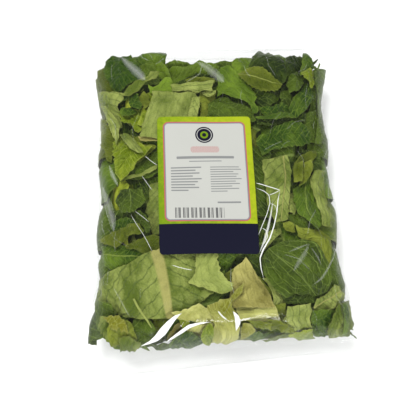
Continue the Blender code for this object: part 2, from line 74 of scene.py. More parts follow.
view = {
    "target": (-0.013, -0.0216, 0.085),
    "distance": 0.600,
    "tilt": math.radians(18),  # off straight down
    "focal": 588.0,  # pixels
    "size": 400,  # pixels along each side of the view
}
viewBack = np.array([0.0, -math.sin(view["tilt"]), math.cos(view["tilt"])])  # from the bag to the eye
viewUp = np.array([0.0, math.cos(view["tilt"]), math.sin(view["tilt"])])
viewEye = np.array(view["target"]) + viewBack * view["distance"]


# A smooth rise from 0 at 0 to 1 at 1: three squares less two cubes.
def smoothStep(t):
    t = np.clip(t, 0.0, 1.0)
    return t * t * (3.0 - 2.0 * t)


# A power of a number's size, under the number's own sign.
def signedPower(value, exponent):
    return np.sign(value) * np.abs(value) ** exponent


# Vectors along the last axis over their own length, which counts as a micrometre at least.
def unit(vectors):
    return vectors / np.maximum(np.linalg.norm(vectors, axis=-1, keepdims=True), 1e-6)


# Directions in the plane a quarter turn to the left of the given ones.
def squareTo(heading):
    return np.stack([-heading[:, 1], heading[:, 0]], axis=1)


# A table read between its rows and columns by the four nearest values. Its first column follows its last.
def between(table, row, column):
    r, c = np.floor(row).astype(int), np.floor(column).astype(int)
    u, v = column - c, row - r
    if table.ndim == 3:
        u, v = u[..., None], v[..., None]
    c = c % table.shape[1]
    beside = (c + 1) % table.shape[1]
    near = table[r, c] * (1 - u) + table[r, beside] * u
    far = table[r + 1, c] * (1 - u) + table[r + 1, beside] * u
    return near * (1 - v) + far * v


# Share of the way from the bag's middle to an end seal, 1 on the seal.
def reachOf(along):
    return np.clip(np.abs(along) / bag["halfLength"], 0.0, 1.0)


# Thickness of the filled bag: one less a power of the reach, raised to a second power.
def thicknessAt(along):
    power, rounding = bag["endCurve"]
    return bag["thickness"] * (1.0 - reachOf(along) ** power) ** rounding


# Half of the bag's section from the middle of the front round to the middle of the back: a superellipse,
# fuller below than above, whose lowest stretch is pressed flat by the table.
def halfSection(thickness, halfWidth, samples):
    angle = np.linspace(math.pi / 2, -math.pi / 2, samples)[None, :]
    fullness = np.where(angle > 0, bag["topFullness"], bag["backFullness"])
    rise = np.where(angle > 0, bag["topShare"], bag["bellyShare"] * 1.1) * thickness[:, None]
    x = halfWidth[:, None] * np.abs(np.cos(angle)) ** (2.0 / fullness)
    z = rise * signedPower(np.sin(angle), 2.0 / fullness)
    floor = -bag["bellyShare"] * thickness[:, None]
    turn = bag["tableTurn"] * thickness[:, None]
    above = z - floor
    soft = np.where(above < -turn, 0.0, (above + turn) ** 2 / (4.0 * turn))
    z = floor + np.where(above > turn, above, soft)
    run = np.hypot(np.diff(x, axis=1), np.diff(z, axis=1))
    return x, z, np.concatenate([np.zeros((len(x), 1)), np.cumsum(run, axis=1)], axis=1)


# The film's outer face over distance along the bag and arc round it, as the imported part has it.
class FilmFace:
    def __init__(self, along, arc, samples):
        self.along, self.arc = along, arc
        reach = reachOf(along)
        thickness = np.maximum(thicknessAt(along), 2.0 * bag["filmThickness"])
        halfWidth = self.fittedHalfWidth(thickness)
        x, z, run = halfSection(thickness, halfWidth, samples)
        height = bag["bellyShare"] * thickness + bag["sealHeight"] * smoothStep((reach - 0.5) / 0.5)
        place = np.zeros((len(along), len(arc), 3))
        for row in range(len(along)):
            walked = np.abs(arc) * (run[row, -1] / bag["filmWidth"])
            place[row, :, 0] = np.interp(walked, run[row], x[row]) * np.sign(arc)
            place[row, :, 2] = np.interp(walked, run[row], z[row]) + height[row]
        self.place = self.shaped(place, halfWidth, reach)
        self.outward = self.awayFromSpine(halfWidth, thickness, height)

    # the half width at which the way round the film keeps its length, found by halving
    def fittedHalfWidth(self, thickness):
        low = np.full_like(thickness, 0.2 * bag["filmWidth"])
        high = np.full_like(thickness, 0.6 * bag["filmWidth"])
        for _ in range(30):
            tried = (low + high) / 2.0
            tooLong = halfSection(thickness, tried, 401)[2][:, -1] > bag["filmWidth"]
            high = np.where(tooLong, tried, high)
            low = np.where(tooLong, low, tried)
        return low

    # pinched sides, skew, gathered and slanted bottom, corner ears, lumps of the fill and the low places
    def shaped(self, place, halfWidth, reach):
        along, arc, reach = self.along[:, None], self.arc[None, :], reach[:, None]
        across = place[:, :, 0] / halfWidth[:, None]
        pinch = 0.5 + 0.5 * np.cos(2 * math.pi * (along - 0.012 * np.sign(arc)) / bag["pinch"][1])
        fade = (1.0 - reach**4) * np.abs(across) ** 5
        place[:, :, 0] *= 1.0 - bag["pinch"][0] * pinch * fade
        place[:, :, 0] += bag["skew"] * along
        endShare = reach**6
        place[:, :, 0] *= 1.0 - bag["bottomGather"] * endShare * (along < 0)
        place[:, :, 1] = along - np.sign(along) * bag["cornerEar"] * endShare * (1.0 - across**2)
        place[:, :, 1] += bag["bottomSlant"] * place[:, :, 0] * endShare * (along < 0)
        front = smoothStep(1.25 - np.abs(arc) / (bag["frontShare"] * bag["filmWidth"]))
        lumps = np.sin(arc / 0.021 + 1.7 * np.sin(along / 0.034)) * np.cos(along / 0.026 + 0.8)
        place[:, :, 2] += bag["lumpHeight"] * front * (1.0 - reach**8) * lumps
        gather = np.cos(2 * math.pi * arc / bag["gather"][1] + 1.1 * np.sign(along))
        nearSeal = np.exp(-(((reach - 0.93) / 0.07) ** 2))
        place[:, :, 2] += bag["gather"][0] * gather * nearSeal * (np.abs(arc) < 0.5 * bag["filmWidth"])
        fromLow = np.hypot(np.abs(arc) - bag["bearingPlace"][0], np.abs(along) - bag["bearingPlace"][1])
        raised = 1.0 - np.exp(-((fromLow / bag["bearing"][1]) ** 2))
        onBack = smoothStep((np.abs(arc) / bag["filmWidth"] - 0.5) / 0.15)
        place[:, :, 2] += bag["bearing"][0] * raised * onBack
        return place

    # unit directions away from the flat spine of the fill, so that deep layers never cross
    def awayFromSpine(self, halfWidth, thickness, height):
        across = np.maximum(halfWidth - 0.55 * thickness, 0.010)[:, None]
        shift = (bag["skew"] * self.along)[:, None]
        spine = np.zeros_like(self.place)
        spine[:, :, 0] = shift + np.clip(self.place[:, :, 0] - shift, -across, across)
        fromFold = smoothStep(np.abs(np.abs(self.arc) - bag["filmWidth"] / 2) / bag["foldReach"])
        pastSpine = self.place[:, :, 1] - np.clip(self.place[:, :, 1], -bag["spineHalf"], bag["spineHalf"])
        spine[:, :, 1] = self.place[:, :, 1] - pastSpine * fromFold
        spine[:, :, 2] = (height + 0.08 * thickness)[:, None]
        return unit(self.place - spine)

    # points at a depth under the film
    def at(self, arc, along, depth):
        arc = (arc + bag["filmWidth"]) % (2 * bag["filmWidth"]) - bag["filmWidth"]
        column = (arc - self.arc[0]) / (self.arc[1] - self.arc[0])
        row = (along - self.along[0]) / (self.along[1] - self.along[0])
        row, column = np.clip(row, 0, len(self.along) - 1.001), np.clip(column, 0, len(self.arc) - 1.001)
        return between(self.place, row, column) - between(self.outward, row, column) * depth[..., None]


filmEnd = bag["halfLength"] + bag["sealWidth"]


# The film's face on an even grid of arc and distance, over the seals too.
def evenFace(stations, columns, samples):
    along = np.linspace(-filmEnd, filmEnd, stations)
    return FilmFace(along, np.linspace(-bag["filmWidth"], bag["filmWidth"], columns), samples)


partGrid = evenFace(192, 245, 401).place.reshape(-1, 3)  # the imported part's own grid
bagMiddle = (partGrid.min(axis=0) + partGrid.max(axis=0)) / 2  # goes over the origin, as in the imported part
bagMiddle[2] = 0.0
film = evenFace(383, 489, 1201)
film.place -= bagMiddle
print("film tabled, middle", np.round(bagMiddle, 4))


# Pixels of the view at which points show, by the pinhole rule: sideways and upwards over the depth.
def pixelsOf(points):
    fromEye = points - viewEye
    depth = -(fromEye @ viewBack)
    x = view["size"] / 2 + view["focal"] * fromEye[..., 0] / depth
    y = view["size"] / 2 - view["focal"] * (fromEye @ viewUp) / depth
    return np.stack([x, y], axis=-1)


search = {
    "arc": (-0.156, 0.1561, 0.001),  # start, end and spacing of the grid
    "along": (-0.188, 0.1651, 0.001),
    "slope": 0.0005,  # the step over which a slope is taken
    "longest": 0.001,  # step of Newton's rule
    "edgeOn": 4e4,  # square pixels for each square metre, below which a level is seen edge on
}
searchArc, searchAlong = np.meshgrid(np.arange(*search["arc"]), np.arange(*search["along"]))


# Arc and distance along the bag that each pixel sees on a level whose depth is a function of the two:
# the nearest point of a millimetre grid, then two steps of Newton's rule in the two directions.
def whereSeen(pixels, depthAt):
    def seenAt(arc, along):
        return pixelsOf(film.at(arc, along, depthAt(arc, along)))

    seen = seenAt(searchArc, searchAlong).reshape(-1, 2)
    nearest = np.array([np.argmin(((seen - pixel) ** 2).sum(axis=1)) for pixel in pixels])
    arc, along = searchArc.reshape(-1)[nearest], searchAlong.reshape(-1)[nearest]
    step, longest = search["slope"], search["longest"]
    for _ in range(2):
        here = seenAt(arc, along)
        side = (seenAt(arc + step, along) - here) / step
        ahead = (seenAt(arc, along + step) - here) / step
        det = side[:, 0] * ahead[:, 1] - side[:, 1] * ahead[:, 0]
        det = np.where(np.abs(det) < search["edgeOn"], np.inf, det)  # such a point stays where it is
        miss = pixels - here
        arc = arc + np.clip((miss[:, 0] * ahead[:, 1] - miss[:, 1] * ahead[:, 0]) / det, -longest, longest)
        along = along + np.clip((side[:, 0] * miss[:, 1] - side[:, 1] * miss[:, 0]) / det, -longest, longest)
    return np.stack([arc, along], axis=-1)


# Shader maths: a wire is a number in a material, and each operator on it adds a Math node.
class Wire:
    def __init__(self, maker, socket):
        self.maker, self.socket = maker, socket

    def math(self, operation, *others):
        return self.maker.node("Math", {"operation": operation}, [self, *others])

    def __add__(self, other):
        return self.math("ADD", other)

    def __sub__(self, other):
        return self.math("SUBTRACT", other)

    def __rsub__(self, other):
        return self.maker.node("Math", {"operation": "SUBTRACT"}, [other, self])

    def __mul__(self, other):
        return self.math("MULTIPLY", other)

    __radd__ = __add__
    __rmul__ = __mul__

    def clamped(self):
        return self.maker.node("Clamp", {}, {"Value": self})

    # 0 below the first number, 1 above the second, a smooth rise between
    def rise(self, low, high):
        settings = {"interpolation_type": "SMOOTHSTEP"}
        return self.maker.node("MapRange", settings, {"Value": self, "From Min": low, "From Max": high})


# A material in the making: each method adds a node, fed by numbers, colours and wires, and gives its wire.
class Maker:
    def __init__(self, name):
        self.material = bpy.data.materials.new(name)
        self.material.use_nodes = True
        self.tree = self.material.node_tree
        self.tree.nodes.clear()
        self.output = self.tree.nodes.new("ShaderNodeOutputMaterial")

    # one node of a kind, its settings set first, then its sockets by order or by name
    def node(self, kind, settings, values, result=0):
        made = self.tree.nodes.new("ShaderNode" + kind)
        for name, value in settings.items():
            setattr(made, name, value)
        pairs = values.items() if isinstance(values, dict) else enumerate(values)
        for socket, value in pairs:
            if isinstance(value, Wire):
                self.tree.links.new(value.socket, made.inputs[socket])
            else:
                made.inputs[socket].default_value = value
        return Wire(self, made.outputs[result])

    def attribute(self, name):
        return self.node("Attribute", {"attribute_name": name}, {}, "Fac")

    def uv(self, name):
        return self.node("UVMap", {"uv_map": name}, {}, "UV")

    def noise(self, vector, scale, detail=3.0, roughness=0.55):
        values = {"Vector": vector, "Scale": scale, "Detail": detail, "Roughness": roughness}
        return self.node("TexNoise", {}, values, "Fac")

    # distance to the nearest edge of a net of random cells
    def cellEdges(self, vector, scale):
        settings = {"feature": "DISTANCE_TO_EDGE"}
        return self.node("TexVoronoi", settings, {"Vector": vector, "Scale": scale}, "Distance")

    def vector(self, operation, first, second):
        return self.node("VectorMath", {"operation": operation}, [first, second])

    def mix(self, share, first, second):
        settings = {"data_type": "RGBA", "blend_type": "MIX"}
        return self.node("Mix", settings, {0: share, 6: colourOf(first), 7: colourOf(second)}, 2)

    def bump(self, height, strength, distance):
        values = {"Strength": strength, "Distance": distance, "Height": height}
        return self.node("Bump", {}, values, "Normal")

    def principled(self, colour, roughness, normal, specular):
        values = {"Base Color": colour, "Roughness": roughness, "Normal": normal}
        return self.node("BsdfPrincipled", {}, {**values, "Specular IOR Level": specular})

    def finish(self, shader):
        self.tree.links.new(shader.socket, self.output.inputs["Surface"])
        return self.material


# A colour given as it shows on a screen, 0 to 255, as the linear light that a shader works in.
def colourOf(shown):
    if isinstance(shown, Wire):
        return shown
    part = np.asarray(shown, float) / 255.0
    light = np.where(part <= 0.04045, part / 12.92, ((part + 0.055) / 1.055) ** 2.4)
    return (*light, 1.0)


# A mesh object with numbers on its points and a UV map of its two flat coordinates, riding on the one body.
def newPiece(name, points, faces, material, numbers, flat):
    mesh = bpy.data.meshes.new(name)
    mesh.from_pydata(points.reshape(-1, 3).tolist(), [], faces)
    for key, values in numbers.items():
        attribute = mesh.attributes.new(key, "FLOAT", "POINT")
        attribute.data.foreach_set("value", values.astype(np.float32).ravel())
    corner = np.empty(len(mesh.loops), np.int32)
    mesh.loops.foreach_get("vertex_index", corner)
    uv = np.stack(flat, axis=-1).reshape(-1, 2)[corner]
    mesh.uv_layers.new(name="flat").data.foreach_set("uv", uv.astype(np.float32).ravel())
    mesh.shade_smooth()
    mesh.update()
    mesh.materials.append(material)
    piece = bpy.data.objects.new(name, mesh)
    scene.collection.objects.link(piece)
    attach(piece, "root")
    return piece


# A wall of even thickness behind a piece's outer face.
def thicken(piece, thickness):
    wall = piece.modifiers.new("thickness", "SOLIDIFY")
    wall.thickness, wall.offset = thickness, -1.0


# Corners of the quads of a grid of points. A wrapped grid's last column is joined to its first.
def gridQuads(rows, columns, wrapped=False):
    index = np.arange(rows * columns).reshape(rows, columns)
    if wrapped:
        index = np.concatenate([index, index[:, :1]], axis=1)
    quads = np.stack([index[:-1, :-1], index[:-1, 1:], index[1:, 1:], index[1:, :-1]], axis=-1)
    return quads.reshape(-1, 4)


# Soft noise from -1 to 1: five sines of two coordinates, each turned and shifted by the draw.
def softNoise(x, y, wave, draw):
    total = np.zeros(np.broadcast(x, y).shape)
    for k in range(5):
        heading, shift = draw.uniform(0, 2 * math.pi), draw.uniform(0, 2 * math.pi)
        pitch = wave * (0.7 + 0.25 * k)
        total += np.sin(2 * math.pi * (x * math.cos(heading) + y * math.sin(heading)) / pitch + shift)
    return total / 3.2


leafColours = {  # as shown on a screen: deep, light, vein, rib
    "dark": ((20, 36, 0), (88, 110, 24), (112, 132, 54), (120, 138, 66)),
    "green": ((32, 58, 0), (116, 142, 36), (116, 138, 48), (132, 148, 66)),
    "olive": ((60, 72, 0), (142, 152, 54), (92, 104, 28), (152, 160, 80)),
    "lime": ((88, 106, 0), (194, 204, 68), (164, 178, 70), (198, 206, 110)),
    "pale": ((78, 94, 24), (178, 188, 104), (72, 88, 34), (158, 152, 90)),
    "cream": ((104, 106, 18), (218, 218, 138), (170, 174, 92), (212, 210, 142)),
    "tan": ((106, 102, 44), (196, 190, 112), (124, 120, 58), (198, 190, 126)),
}

leafSurface = {
    "wobble": 0.9,  # of the veins, in vein spacings
    "wobbleScale": 60.0,  # scales are for each metre
    "veinWidth": 0.10,  # of half a spacing
    "bendScale": 95.0,  # of the waver that bends the net, and how far it bends
    "bend": 0.0042,
    "netScale": 95.0,  # of the coarse net of veins and of the fine one, and the width of their lines
    "netWidth": 0.055,
    "fineScale": 300.0,
    "fineWidth": 0.10,
    "blotchScale": 34.0,
    "grainScale": 800.0,
    "roughness": 0.42,
    "specular": 0.14,
    "bump": 0.0022,
}


# A finish of leaf. Veins follow the piece's own vein number, a whole number on each vein, and a coarse
# and a fine net of cell edges, bent by noise, lie between them. The leaf bulges between its veins.
# Blotches and grain vary the shade, and the rib and the cut rim have a colour of their own.
def makeLeafMaterial(name):
    deep, light, vein, rib = leafColours[name]
    maker = Maker("leaf_" + name)
    flat = maker.uv("flat")
    blotch = maker.noise(flat, leafSurface["blotchScale"], 4.0, 0.6)
    grain = maker.noise(flat, leafSurface["grainScale"], 2.0)
    waverValues = {"Vector": flat, "Scale": leafSurface["bendScale"], "Detail": 2.0}
    waver = maker.vector("SUBTRACT", maker.node("TexNoise", {}, waverValues, "Color"), (0.5, 0.5, 0.5))
    bent = maker.vector("ADD", flat, maker.vector("MULTIPLY", waver, (leafSurface["bend"],) * 3))
    coarse = maker.cellEdges(maker.vector("MULTIPLY", bent, (1.0, 0.6, 1.0)), leafSurface["netScale"])
    fine = maker.cellEdges(bent, leafSurface["fineScale"])
    drift = maker.noise(flat, leafSurface["wobbleScale"], 2.0) - 0.5
    veinShare = maker.attribute("veinShare")
    number = maker.attribute("vein") + drift * leafSurface["wobble"]
    mainMask = (1.0 - number.math("PINGPONG", 0.5).rise(0.0, leafSurface["veinWidth"])) * veinShare
    coarseMask = (1.0 - coarse.rise(0.0, leafSurface["netWidth"])) * veinShare
    fineMask = (1.0 - fine.rise(0.0, leafSurface["fineWidth"])) * veinShare
    bulge = coarse.rise(0.0, 0.30) + fine.rise(0.0, 0.40) * 0.45
    ribMask = maker.attribute("rib")
    # the tone also falls towards the net's lines, where the bulges dip: partly the darker tissue by the
    # veins, partly painted shade in the dips
    tone = maker.attribute("tone") + (blotch - 0.5) * 0.8 + (grain - 0.5) * 0.25 + (bulge - 0.8) * 0.12
    colour = maker.mix(tone.clamped(), deep, light)
    colour = maker.mix((mainMask * 0.6 + coarseMask * 0.3 + fineMask * 0.14).clamped(), colour, vein)
    colour = maker.mix((ribMask * (0.75 + (grain - 0.5) * 0.8)).clamped(), colour, rib)
    colour = maker.mix((maker.attribute("rim") * 0.14).clamped(), colour, rib)
    height = (blotch * 0.35 + bulge * 0.42 - mainMask * 0.30) * (1.0 - ribMask * 0.75) + grain * 0.05
    normal = maker.bump(height, 0.8, leafSurface["bump"])
    roughness = (blotch * 0.24 + (leafSurface["roughness"] - 0.12)).clamped()
    return maker.finish(maker.principled(colour, roughness, normal, leafSurface["specular"]))


leafMaterials = {name: makeLeafMaterial(name) for name in leafColours}
print("leaf finishes made:", len(leafMaterials))

stackRule = {
    "step": 0.0025,  # of the grid that keeps how deep the pieces reach
    "first": 0.0020,  # depth of the pieces that lie against the film
    "gap": 0.0017,  # from one piece to the next
    "spread": 2,  # steps by which a piece keeps clear of an edge over it
    "blur": 2,  # and rounds off
    "hollow": 0.0044,  # how far the fill falls away from the film between its lumps
    "hollowWave": 0.052,
    "tight": 0.0006,  # how much nearer the pieces lie where the film is stretched
    "tightArc": (0.110, 0.210),  # round the sides, between these arcs, and past this distance to the ends
    "tightAlong": 0.145,
    "tightTurn": 0.02,
    "roomShare": 0.40,  # of the bag's thickness, that a piece may lie deep
    "seed": 9,
}


# A field moved one step on and one step back, round the bag.
def aroundBag(field):
    return np.roll(field, 1, axis=1), np.roll(field, -1, axis=1)


# The same along the bag, its first and last rows kept.
def alongBag(field):
    return np.concatenate([field[:1], field[:-1]]), np.concatenate([field[1:], field[-1:]])


# How deep the pieces reach under the film so far, over arc and distance along the bag.
class LeafStack:
    def __init__(self):
        self.columns = int(round(2 * bag["filmWidth"] / stackRule["step"]))
        self.rows = int(round(2 * bag["halfLength"] / stackRule["step"]))
        arc = (np.arange(self.columns) + 0.5) * stackRule["step"] - bag["filmWidth"]
        along = (np.arange(self.rows) + 0.5) * stackRule["step"] - bag["halfLength"]
        arc, along = np.meshgrid(arc, along)
        draw = np.random.default_rng(stackRule["seed"])
        hollow = smoothStep(0.15 + 0.75 * softNoise(arc, along, stackRule["hollowWave"], draw))
        (low, high), turn = stackRule["tightArc"], stackRule["tightTurn"]
        tight = smoothStep((np.abs(arc) - low) / turn) * smoothStep((high - np.abs(arc)) / turn)
        tight = np.maximum(tight, smoothStep((np.abs(along) - stackRule["tightAlong"]) / turn))
        self.depth = stackRule["first"] - stackRule["gap"] + stackRule["hollow"] * hollow * (1 - tight)
        self.depth -= stackRule["tight"] * tight

    # the depth at which the next piece clears all above it: a moving maximum, then a moving mean
    def draped(self):
        field = self.depth
        for _ in range(stackRule["spread"]):
            for neighbours in (aroundBag, alongBag):
                field = np.maximum(field, np.maximum(*neighbours(field)))
        for _ in range(stackRule["blur"]):
            for neighbours in (aroundBag, alongBag):
                before, after = neighbours(field)
                field = (before + field + after) / 3
        return field + stackRule["gap"]

    # a field's depth at places between its cells, whose centres lie half a step in
    def read(self, field, arc, along):
        column = ((arc + bag["filmWidth"]) / stackRule["step"] - 0.5) % self.columns
        row = np.clip((along + bag["halfLength"]) / stackRule["step"] - 0.5, 0, self.rows - 1.001)
        return between(field, row, column)

    # the cells under a piece's points deepened to them
    def mark(self, arc, along, depth):
        column = np.floor((arc + bag["filmWidth"]) / stackRule["step"]).astype(int) % self.columns
        row = np.floor((along + bag["halfLength"]) / stackRule["step"]).astype(int).clip(0, self.rows - 1)
        np.maximum.at(self.depth, (row, column), depth)


stack = LeafStack()

leafCut = {
    "spacing": 0.0011,  # of a front piece's grid, and of the others'
    "backSpacing": 0.0022,
    "thickness": 0.0005,
    "tipWidth": 0.0008,
    "tearRun": 0.004,  # half width below which an edge strays less
    "endRun": 0.003,  # how far the stray of an end runs into the piece
    "straySize": 580,  # over which a ragged number gives metres
    "tears": ((0.0085, 0.9), (0.0036, 0.55), (0.0017, 0.3)),  # spacing of a tear's points, and its share
    "tooth": 0.0052,  # from one saw tooth to the next
    "endTuck": (0.166, 0.171),  # where the pieces crowd at the bag's top and bottom, and over what length
    "innerTuck": (0.131, 0.150),  # the same for the pieces that have no outline from the view
    "tuckRoom": 0.009,
    "seed": 41,  # of the front pieces
}

leafRelief = {
    "rest": 0.0006,  # depth of a piece under its drape
    "highest": 0.0010,  # by which it may rise over its drape
    "wave": 0.040,  # lengths of its waves, folds, blisters and shades
    "fold": 0.015,
    "blister": 0.0085,
    "shade": 0.034,
    "rimReach": 0.0012,  # how far in from an edge its cut rim, its curl and its plain border reach
    "curlReach": 0.003,
    "furrowReach": 0.004,
    "furrow": 0.00016,  # height of the waves that leave a furrow on each vein
}

plainLeaf = {  # what a piece has where its own facts don't say otherwise, in millimetres
    "ragged": 0.5,  # stray of its edges
    "teeth": 0.0,
    "soften": 1,  # passes that round off its outline
    "bulge": 0.0,  # of its two ends
    "veins": ("feather", 7.5, 0.9),  # kind, spacing (in a fan their number) and slant
    "veinShare": 0.8,
    "rib": 0.0,  # its width, and the share by which it narrows towards the end
    "ribTaper": 0.3,
    "ribRise": 0.15,
    "wave": 1.0,
    "crumple": 0.7,
    "frill": 0.0,
    "ruffle": 13.0,  # length of a wave of the frill
    "curl": 0.15,
    "blister": 0.22,
    "fade": 0.0,  # by which the tone rises from start to end
    "tuck": leafCut["endTuck"],
}


# Lengths of the straight runs between the points of a line.
def runsOf(line):
    return np.hypot(*np.diff(np.asarray(line, float), axis=0).T)


# The whole length of a line.
def lengthOf(line):
    return float(runsOf(line).sum())


# Distance along a line at each of its points.
def distanceAlong(line):
    return np.concatenate([[0.0], np.cumsum(runsOf(line))])


# Points evenly spaced along the line through the given ones, its corners softened by a short moving mean.
def evenLine(points, count, soften):
    run = distanceAlong(points)
    even = np.linspace(0.0, run[-1], count)
    line = np.stack([np.interp(even, run, np.asarray(points, float)[:, k]) for k in range(2)], axis=1)
    for _ in range(soften):
        line[1:-1] = 0.25 * line[:-2] + 0.5 * line[1:-1] + 0.25 * line[2:]
    return line


# How far an edge strays from its line: straight runs between random points at three spacings, as a
# knife and a tear leave it, and saw teeth where the leaf has them.
def edgeStray(run, amount, teeth, draw):
    torn = np.zeros(run.shape)
    for spacing, share in leafCut["tears"]:
        knots = np.arange(run.min() - spacing, run.max() + 2 * spacing, spacing)
        knots = knots + draw.uniform(-0.4, 0.4, len(knots)) * spacing
        torn += share * np.interp(run, knots, draw.uniform(-1, 1, len(knots)))
    saw = (run / leafCut["tooth"] + draw.uniform()) % 1.0 - 0.5
    return amount * torn + teeth * saw


# How deep a piece may lie: most of the way to the middle of the bag, whose thickness falls to its ends.
def roomAt(along):
    return stackRule["roomShare"] * thicknessAt(along) + leafRelief["rest"]


# One piece of leaf, flat: ruled from its left side to its middle line and on to its right side, p running
# across from -1 to 1 and q along from 0 to 1. u and v are its own coordinates, across and along.
class FlatLeaf:
    def __init__(self, facts, lines, draw, spacing):
        self.facts, self.draw = {**plainLeaf, **facts}, draw
        left, centre, right = lines
        straight = (left[[0, -1]] + right[[0, -1]]) / 2
        self.length = max(lengthOf(line) for line in (left, right, straight if centre is None else centre))
        width = np.hypot(*(evenLine(left, 9, 0) - evenLine(right, 9, 0)).T).max()
        self.rows = int(np.clip(self.length / spacing, 10, 110))
        self.columns = 2 * int(np.clip(width / spacing / 2, 4, 55)) + 1
        self.p = np.linspace(-1.0, 1.0, self.columns)[None, :]
        self.q = np.linspace(0.0, 1.0, self.rows)[:, None]
        soften = self.facts["soften"]
        sides = [evenLine(line, self.rows, soften) for line in (left, right)]
        spine = (sides[0] + sides[1]) / 2 if centre is None else evenLine(centre, self.rows, soften + 6)
        heading = unit(np.gradient(spine, axis=0))
        sides = [self.torn(side, spine, heading) for side in sides]
        share, onLeft = np.abs(self.p)[..., None], self.p[..., None] < 0
        flat = spine[:, None] * (1 - share) + np.where(onLeft, sides[0][:, None], sides[1][:, None]) * share
        self.setCoordinates(flat, spine, sides)
        self.arc, self.along = self.tucked(self.tornEnds(flat, heading))

    # a side pushed out and in by its stray, and kept clear of the middle line by half a tip's width
    def torn(self, side, spine, heading):
        run = np.linspace(0.0, self.length, self.rows)
        ragged, teeth = self.facts["ragged"] / leafCut["straySize"], self.facts["teeth"] / 1000
        stray = edgeStray(run, ragged, teeth, self.draw)
        narrow = np.linalg.norm(side - spine, axis=1)
        torn = side + unit(side - spine) * (stray * np.clip(narrow / leafCut["tearRun"], 0, 1))[:, None]
        square = squareTo(heading)
        turnSide = np.sign(((torn - spine) * square).sum(axis=1).mean())
        tip = np.clip(leafCut["tipWidth"] / 2 - narrow, 0, None)
        return torn + square * (turnSide * tip)[:, None]

    # u across, with the bow of the middle line taken out, v along, and the way in from the nearest edge
    def setCoordinates(self, flat, spine, sides):
        axis = unit(spine[-1] - spine[0])
        cross = np.array([axis[1], -axis[0]])
        bow = (spine - spine.mean(axis=0)) @ cross
        self.u = (flat - spine.mean(axis=0)) @ cross - bow[:, None]
        self.v = (flat - spine[0]) @ axis
        half = np.maximum(*(np.linalg.norm(side - spine, axis=1) for side in sides))[:, None]
        fromEnds = np.minimum(self.q, 1 - self.q) * self.length
        self.margin = np.minimum((1 - np.abs(self.p)) * half, fromEnds)

    # the two ends moved along the piece by a stray and a bulge that fade into it
    def tornEnds(self, flat, heading):
        ragged = self.facts["ragged"] / leafCut["straySize"]
        bulge = self.facts["bulge"] / 1000 * (1 - self.p**2)
        for row, fromEnd, sign in ((0, self.q, -1.0), (-1, 1 - self.q, 1.0)):
            stray = edgeStray(self.u[row], ragged, 0.0, self.draw)[None, :]
            fade = np.exp(-fromEnd * self.length / leafCut["endRun"])
            flat = flat + heading[:, None] * (sign * (stray + bulge) * fade)[..., None]
        return flat

    # arc and distance along the bag, drawn in where the bag closes so that no point passes its end
    def tucked(self, flat):
        arc, along = flat[..., 0], flat[..., 1]
        start, room = np.where(along > 0, *self.facts["tuck"]), leafCut["tuckRoom"]
        past = np.maximum(np.abs(along) - start, 0.0)
        return arc, np.sign(along) * (np.minimum(np.abs(along), start) + room * np.tanh(past / room))

    # A whole number on each vein: a feather's veins leave the rib at a slant, a fan's spread from one end,
    # and parallel ones run the length of the piece.
    def veinNumber(self):
        kind, pitch, slant = self.facts["veins"]
        if kind == "feather":
            return (self.v - slant * np.abs(self.u)) / (pitch / 1000) + 0.5 * (self.u > 0)
        if kind == "fan":
            return (self.p + slant * self.q * (1 - self.q)) * pitch / 2
        return self.u / (pitch / 1000) + slant * self.q

    # 1 on the rib, falling to nothing past its half width, which narrows along the piece; and that width
    def ribShare(self):
        half = self.facts["rib"] / 2000 * (1 - self.facts["ribTaper"] * self.q)
        share = 1 - smoothStep((np.abs(self.u) - 0.75 * half) / np.maximum(0.5 * half, 1e-4))
        return share * (self.facts["rib"] > 0), half

    # depth under the drape: waves, sharp folds, a frill that grows towards the edges, a curled rim,
    # blisters, furrows on the veins and a ridge along the rib
    def lift(self, vein, veinShare):
        facts, u, v, p, q, draw = self.facts, self.u, self.v, self.p, self.q, self.draw
        phase = draw.uniform(0, 2 * math.pi, 3)[2]
        lift = leafRelief["rest"] + facts["wave"] / 1000 * 0.75 * softNoise(u, v, leafRelief["wave"], draw)
        folds = 1.0 - np.abs(softNoise(u, v, leafRelief["fold"], draw)) * 1.8
        lift = lift - facts["crumple"] / 1000 * folds
        ruffle = facts["ruffle"] / 1000
        crowd = np.sin(2 * math.pi * v / ruffle + phase + 2 * p) + 0.6 * np.sin(7.4 * u / ruffle + 4 * q)
        lift = lift + facts["frill"] / 1000 * (0.35 + 0.65 * np.abs(p) ** 1.5) * crowd * 0.6
        lift = lift - facts["curl"] / 1000 * np.exp(-self.margin / leafRelief["curlReach"])
        lift = lift + facts["blister"] / 1000 * softNoise(u, v, leafRelief["blister"], draw)
        furrow = np.cos(2 * math.pi * vein) * (1 - np.exp(-self.margin / leafRelief["furrowReach"]))
        lift = lift + leafRelief["furrow"] * furrow * veinShare
        rib, half = self.ribShare()
        ridge = rib * (1 - 0.3 * (u / np.maximum(half, 1e-4)) ** 2).clip(0, 1)
        return lift + facts["ribRise"] / 1000 * (1 - ridge) * (facts["rib"] > 0)


